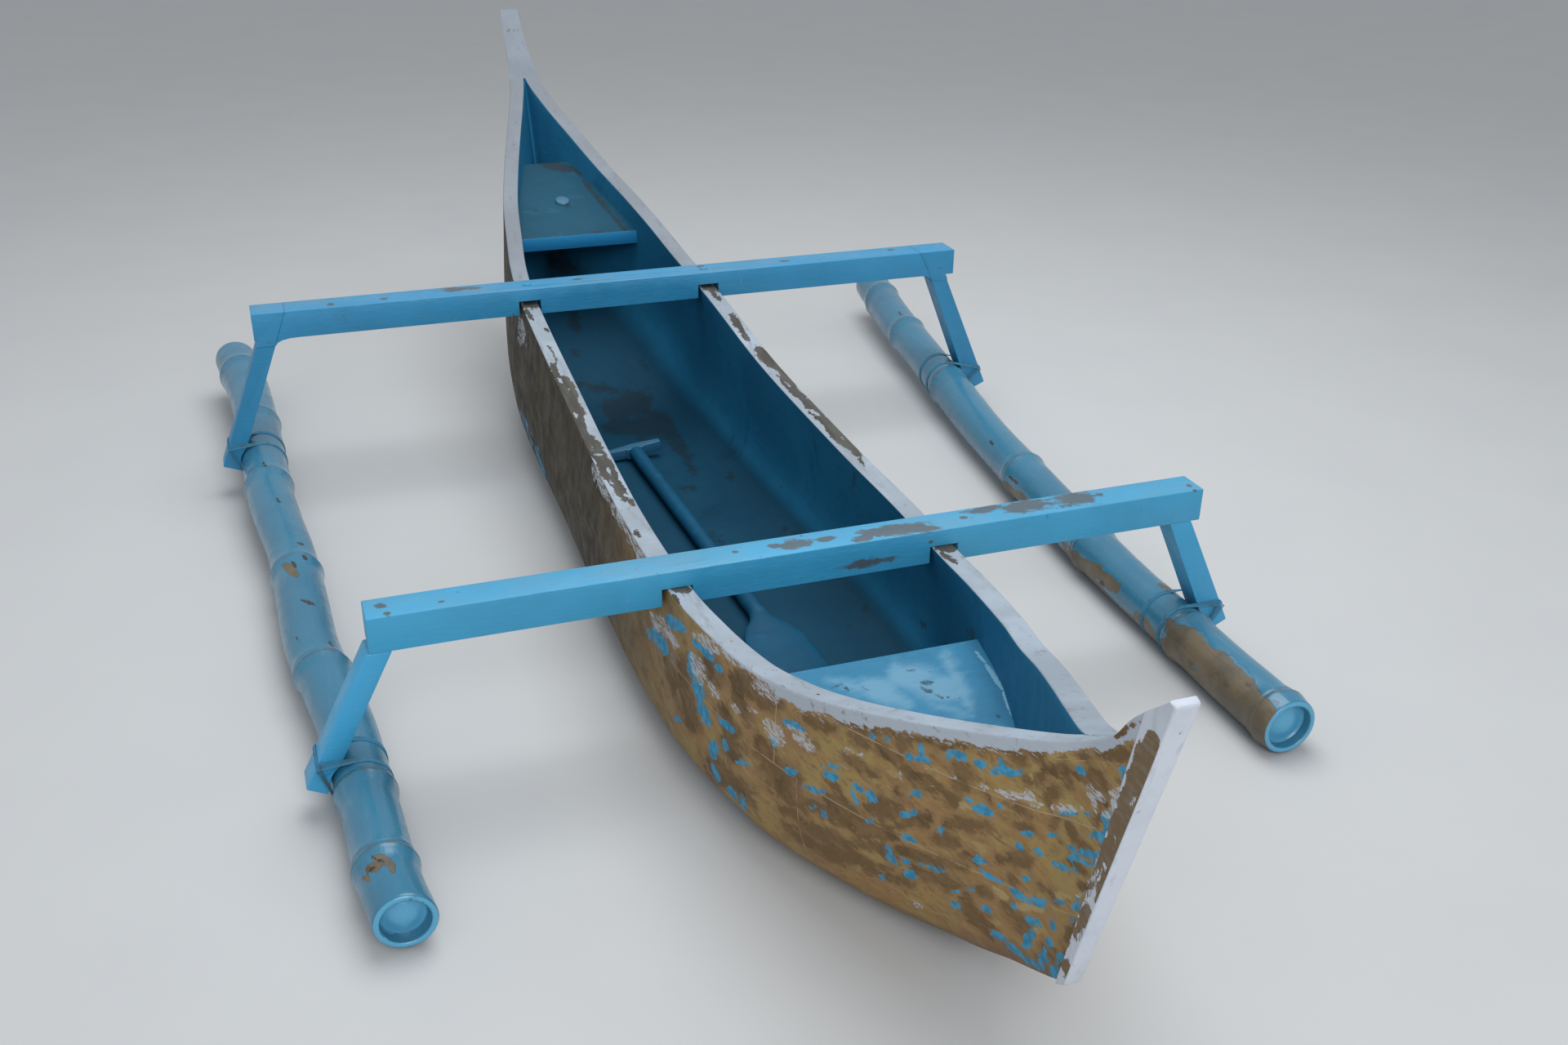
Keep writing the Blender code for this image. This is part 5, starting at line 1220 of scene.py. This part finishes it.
def joint_line(y, levels, gap):
    """Points (half-width, y, z) down the joint between the planks and a post, lowest first."""
    section = Section(y)
    depth = section.top - section.keel
    return [(max(POST_MIN_HALF, section.half_at(section.beam, depth, z)), section.along(z) + gap, z)
            for z in np.linspace(section.keel, section.top, levels)]


def make_posts():
    """Raked stem with a flat face, and the stern post that sweeps up into the horn."""
    joint = joint_line(BOW_JOINT, STEM_LEVELS, -CLEAR) + STEM_HEAD
    make_post("stem_post_shape", joint, STEM_FACE, STEM_BARE_STROKES + POST_DIRT_STROKES, "stem_post", "stem")
    joint = joint_line(STERN_JOINT, STERN_LEVELS, CLEAR)
    half, aft, rise = STERN_TOE
    toe = np.array((half, joint[0][1] + aft, joint[0][2] + rise))
    back = [tuple(toe + (np.array(STERN_HEEL) - toe) * k / (STERN_LEVELS - 1)) for k in range(STERN_LEVELS)]
    make_post("stern_post_shape", joint + [fore for fore, _ in HORN], back + [aft for _, aft in HORN],
              POST_DIRT_STROKES, "stern_post", "stern")


def panel_marks(points, blank=False):
    """Fields for the marks on boards, or the same fields with no mark in them."""
    pixels = photo_pixels(points)
    lists = {"worn": BENCH_WORN, "smudge": BENCH_SMUDGES, "filler": PANEL_FILLER_STROKES}
    return {name: stroke_depth(pixels, [] if blank else strokes) for name, strokes in lists.items()}


def make_panel(name, node, fore, aft, thick, mat):
    """Flat board between two (Y, top height) edges, fitted to the inside of the hull."""
    places = np.linspace(fore[0] + PANEL_ROUND, aft[0] - PANEL_ROUND, PANEL_ROWS)
    soft = [(PANEL_ROUND * (1 - math.cos(a)), PANEL_ROUND * (1 - math.sin(a))) for a in PANEL_BENDS]
    rows = [(fore[0] + back, drop) for back, drop in soft] + [(y, 0.0) for y in places]
    rows += [(aft[0] - back, drop) for back, drop in soft[::-1]]
    rings = []
    for y, drop in rows:
        z = fore[1] + (aft[1] - fore[1]) * (y - fore[0]) / (aft[0] - fore[0])
        ring = []
        for height, order in ((z - drop, 1), (z - thick + drop, -1)):
            section = section_through(y, height)
            half = section.half_at(section.inner, section.top - section.floor, height)
            for x in np.linspace(-half, half, PANEL_ACROSS)[::order]:
                ring.append((x, y, height))
        rings.append(ring)
    points = np.concatenate(rings)
    add_piece(name, points, grid_faces(len(rings), len(rings[0])), MATERIALS[mat],
              [node], panel_marks(points))


def make_plug():
    """Low domed plug on the sloping seat."""
    x, y = PLUG_PLACE
    rise = (SEAT_AFT[1] - SEAT_FORE[1]) / (SEAT_AFT[0] - SEAT_FORE[0])
    base = SEAT_FORE[1] + rise * (y - SEAT_FORE[0]) + CLEAR
    turns = around(PLUG_SIDES)
    rings = []
    for share, lift in PLUG_PROFILE:
        dx, dy = PLUG_RADIUS * share * np.cos(turns), PLUG_RADIUS * share * np.sin(turns)
        rings.append(np.c_[x + dx, y + dy, base + rise * dy + PLUG_HEIGHT * lift])
    add_piece("seat_plug_dome", np.concatenate(rings), grid_faces(len(rings), PLUG_SIDES),
              MATERIALS["grip"], ["seat_plug"])


def make_paddle():
    """Round shaft that flattens into a rounded blade."""
    wide, thick, lift = Line(PADDLE_WIDE), Line(PADDLE_THICK), Line(PADDLE_LIFT)
    start, end = PADDLE_WIDE[0][0], PADDLE_WIDE[-1][0]
    blade = np.linspace(start + BLADE_INSET, BLADE_END, BLADE_ROWS)
    shaft = np.linspace(SHAFT_START, end, SHAFT_ROWS)
    turns = around(PADDLE_SIDES)
    rings = []
    for y in np.r_[start + TIP_INSET, blade, shaft]:
        tip = math.sqrt(max(TIP_LEAST, min(1.0, (y - start) / TIP_ROUND)))
        x = PADDLE_X + PADDLE_SKEW * y + float(wide(y)) * tip * np.cos(turns)
        z = PADDLE_FLOOR + float(lift(y)) + float(thick(y)) * tip * np.sin(turns)
        rings.append(np.c_[x, np.full(PADDLE_SIDES, y), z])
    points = np.concatenate(rings)
    add_piece("paddle_shape", points, grid_faces(len(rings), PADDLE_SIDES), MATERIALS["paddle"],
              ["paddle"], panel_marks(points, blank=True))


def float_radius(label, girth, y):
    """Radius of a culm at a station, and how near a node's grimy ring it is, from 0 to 1."""
    near = min(FLOAT_NODES[label], key=lambda node: abs(y - node))
    away = y - near
    swell = NODE_SWELL * bell(away, NODE_REACH)
    ridge = RING_RISE * bell(away, RING_REACH) - GROOVE_DEPTH * bell(away - GROOVE_AFT, RING_REACH)
    return float(girth(y)) + swell + ridge, bell(away - GRIME_AFT, GRIME_REACH)


def make_float(label, side):
    """Painted culm with soft node rings and a recessed, domed wall at both ends."""
    across, girth, height = (Line(t[label]) for t in (FLOAT_ACROSS, FLOAT_GIRTH, FLOAT_HEIGHT))
    start, end = FLOAT_ACROSS[label][0][0], FLOAT_ACROSS[label][-1][0]
    places = set(np.linspace(start + CULM_INSET, end - CULM_INSET, CULM_ROWS))
    for node in FLOAT_NODES[label]:
        extra = node + np.linspace(-NODE_ZONE, NODE_ZONE, NODE_ROWS)
        places |= {y for y in extra if start + 2 * CULM_INSET < y < end - 2 * CULM_INSET}
    rings, seen, nodes = [], [], []
    turns = around(FLOAT_SIDES)
    out = np.c_[side * np.cos(turns), np.zeros(FLOAT_SIDES), np.sin(turns)]

    def ring(y, r, near_node=0.0):
        """Adds a ring, and notes which of its points face the camera."""
        centre = np.array((side * float(across(y)), y, float(height(y))))
        rings.append(centre + out * r)
        seen.append(np.einsum("ij,ij->i", out, np.array(CAMERA_PLACE) - rings[-1]) > 0)
        nodes.append(np.full(FLOAT_SIDES, near_node))

    def end_wall(y, inward, order):
        """Rim, recess and domed wall, from the middle of the wall out."""
        r = float_radius(label, girth, y)[0]
        hole = r - END_RIM
        profile = [(END_RECESS * depth, hole * wide) for depth, wide in END_WALL]
        profile += [(depth, hole + wide) for depth, wide in INNER_LIP]
        profile += [(depth, r - wide) for depth, wide in OUTER_LIP]
        for depth, wide in profile[::order]:
            ring(y + inward * depth, wide)

    end_wall(start, 1, 1)
    for y in sorted(places):
        ring(y, *float_radius(label, girth, y))
    end_wall(end, -1, -1)
    points, seen = np.concatenate(rings), np.concatenate(seen)
    pixels = photo_pixels(points)
    fields = {"bare": stroke_depth(pixels, FLOAT_BARE_STROKES, seen),
              "blue": stroke_depth(pixels, FLOAT_BLUE_STROKES, seen),
              "dark": stroke_depth(pixels, FLOAT_DARK_STROKES, seen), "ring": np.concatenate(nodes)}
    add_piece(f"float_{label}_culm", points, grid_faces(len(rings), FLOAT_SIDES), MATERIALS["bamboo"],
              [f"float_{label}"], fields)


def outline_round(points):
    """Convex outline round (x, z) points."""
    points = sorted({(round(x, 7), round(z, 7)) for x, z in points})

    def half(seq):
        """One side of the outline, along sorted points."""
        chain = []
        for p in seq:
            while len(chain) >= 2:
                (ax, az), (bx, bz) = chain[-2], chain[-1]
                if (bx - ax) * (p[1] - az) - (bz - az) * (p[0] - ax) > 0:
                    break
                chain.pop()
            chain.append(p)
        return chain[:-1]

    return np.array(half(points) + half(points[::-1]))


def even_loop(outline, count):
    """Points spread evenly along a closed outline."""
    closed = np.r_[outline, outline[:1]]
    reach = np.r_[0.0, np.cumsum(np.hypot(*np.diff(closed, axis=0).T))]
    want = np.linspace(0, reach[-1], count, endpoint=False)
    return np.c_[np.interp(want, reach, closed[:, 0]), np.interp(want, reach, closed[:, 1])]


def add_tube(points, faces, path, looped):
    """Thin round strand along a path of 3-D points."""
    start = len(points)
    path = np.asarray(path, float)
    ahead = np.roll(path, -1, 0) - np.roll(path, 1, 0) if looped else np.gradient(path, axis=0)
    for place, way in zip(path, ahead):
        way = way / np.linalg.norm(way)
        lift = np.cross(way, (0, 1, 0) if abs(way[1]) < 0.7 else (1, 0, 0))
        lift /= np.linalg.norm(lift)
        over = np.cross(way, lift)
        for k in range(STRAND_SIDES):
            a = 2 * math.pi * k / STRAND_SIDES
            points.append(place + STRAND * (math.cos(a) * lift + math.sin(a) * over))
    faces += grid_faces(len(path), STRAND_SIDES, not looped, start, looped)


def make_lashing(end, label, side):
    """Thin cord turns round the float and the strut's foot, with short turns over the foot."""
    boom, top = (FRONT_BOOM, FRONT_TOP) if end == "front" else (REAR_BOOM + STRUT_INSET, REAR_TOP)
    top_x, foot = STRUTS[end][label]
    head, foot = Vector((top_x, top - BOOM_HEIGHT)), Vector(foot)
    down = (foot - head).normalized()
    outward = Vector((-down.y, down.x))
    tip = foot - down * LASHING_UP + outward * (STRAND + CLEAR)
    across, girth, height = (Line(t[label]) for t in (FLOAT_ACROSS, FLOAT_GIRTH, FLOAT_HEIGHT))
    points, faces = [], []
    turns = around(CULM_POINTS)
    waves = np.linspace(0, 4 * math.pi, TURN_POINTS, endpoint=False)
    for way, edge in ((-1, boom), (1, boom + STRUT_DEPTH)):
        for k in range(STRANDS):
            y = edge + way * (FIRST_TURN + STRAND_STEP * k)
            r = float_radius(label, girth, y)[0] + STRAND * STRAND_SINK
            circle = np.c_[float(across(y)) + r * np.cos(turns), float(height(y)) + r * np.sin(turns)]
            held = tip + down * (STRAND_STEP * (k - STRANDS / 2))
            loop = even_loop(outline_round(np.r_[circle, [tuple(held)]]), TURN_POINTS)
            drift = DRIFT * np.sin(waves + k)
            add_tube(points, faces, np.c_[side * loop[:, 0], y + drift, loop[:, 1]], True)
    ys = np.linspace(boom - CROSS_REACH, boom + STRUT_DEPTH + CROSS_REACH, CROSS_POINTS)
    for k in range(CROSS_TURNS):
        held = tip + down * (CROSS_STEP * (k - 1))
        add_tube(points, faces, [(side * held.x, y, held.y) for y in ys], False)
    add_piece(f"{end}_strands_{label}", points, faces, MATERIALS["cord"], [f"{end}_lashing_{label}"])


def dress(node, material):
    """CAD node with softened edges and a painted material."""
    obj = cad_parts[node]
    weld = obj.modifiers.new("weld", "WELD")
    weld.merge_threshold = WELD_REACH
    bevel = obj.modifiers.new("soft_edges", "BEVEL")
    bevel.width = BEVEL_WIDTH
    bevel.segments = BEVEL_STEPS
    bevel.limit_method = "ANGLE"
    bevel.angle_limit = math.radians(BEVEL_DEGREES)
    obj.data.materials.clear()
    obj.data.materials.append(MATERIALS[material])
    obj.data.shade_smooth()


def place_camera():
    """Camera at the photograph's viewpoint."""
    data = bpy.data.cameras.new("camera")
    data.lens, data.sensor_width, data.clip_start = LENS, SENSOR, CLIP_START
    camera = bpy.data.objects.new("camera", data)
    camera.matrix_world = Matrix((RIGHT, UP, -FORWARD)).transposed().to_4x4()
    camera.location = CAMERA_PLACE
    bpy.context.scene.collection.objects.link(camera)
    bpy.context.scene.camera = camera


def area_light(name, place, aim, size, power, colour):
    """Round soft light that looks at a point."""
    data = bpy.data.lights.new(name, "AREA")
    data.shape, data.size, data.energy, data.color = "DISK", size, power, colour
    light = bpy.data.objects.new(name, data)
    light.location = place
    light.rotation_euler = (Vector(aim) - Vector(place)).to_track_quat("-Z", "Y").to_euler()
    bpy.context.scene.collection.objects.link(light)


def light_scene():
    """Even sky light with two large soft lamps."""
    world = bpy.data.worlds.new("studio")
    world.use_nodes = True
    back = world.node_tree.nodes["Background"]
    back.inputs["Color"].default_value = SKY_LIGHT
    back.inputs["Strength"].default_value = SKY_STRENGTH
    bpy.context.scene.world = world
    for lamp in LAMPS:
        area_light(*lamp)
    bpy.context.scene.view_settings.view_transform = "Standard"


def make_floor():
    """Plain pale floor just under the keel."""
    p = Paint("pale_floor")
    mat = p.finish(p.mix(p.noise(3, 4), *FLOOR_GREYS), 0.8)
    mesh = bpy.data.meshes.new("floor")
    corners = [(-1, -1), (1, -1), (1, 1), (-1, 1)]
    mesh.from_pydata([(x * FLOOR_REACH, y * FLOOR_REACH, FLOOR_Z) for x, y in corners], [], [(0, 1, 2, 3)])
    mesh.materials.append(mat)
    floor = bpy.data.objects.new("floor", mesh)
    bpy.context.scene.collection.objects.link(floor)


place_camera()
light_scene()
make_floor()
make_hull()
make_posts()
make_panel("bow_bench_board", "bow_bench", BENCH_FORE, BENCH_AFT, BENCH_THICK, "bench")
make_panel("stern_seat_board", "stern_seat", SEAT_FORE, SEAT_AFT, SEAT_THICK, "seat")
make_plug()
make_paddle()
for label, side in SIDES.items():
    make_float(label, side)
    dress(f"front_strut_{label}", "strut")
    for end in STRUTS:
        make_lashing(end, label, side)
dress("front_boom", "front_sky")
for node in ("rear_boom", "rear_knee_port", "rear_knee_starboard", "rear_peg_port", "rear_peg_starboard"):
    dress(node, "rear_sky")
dress("paddle_grip", "grip")
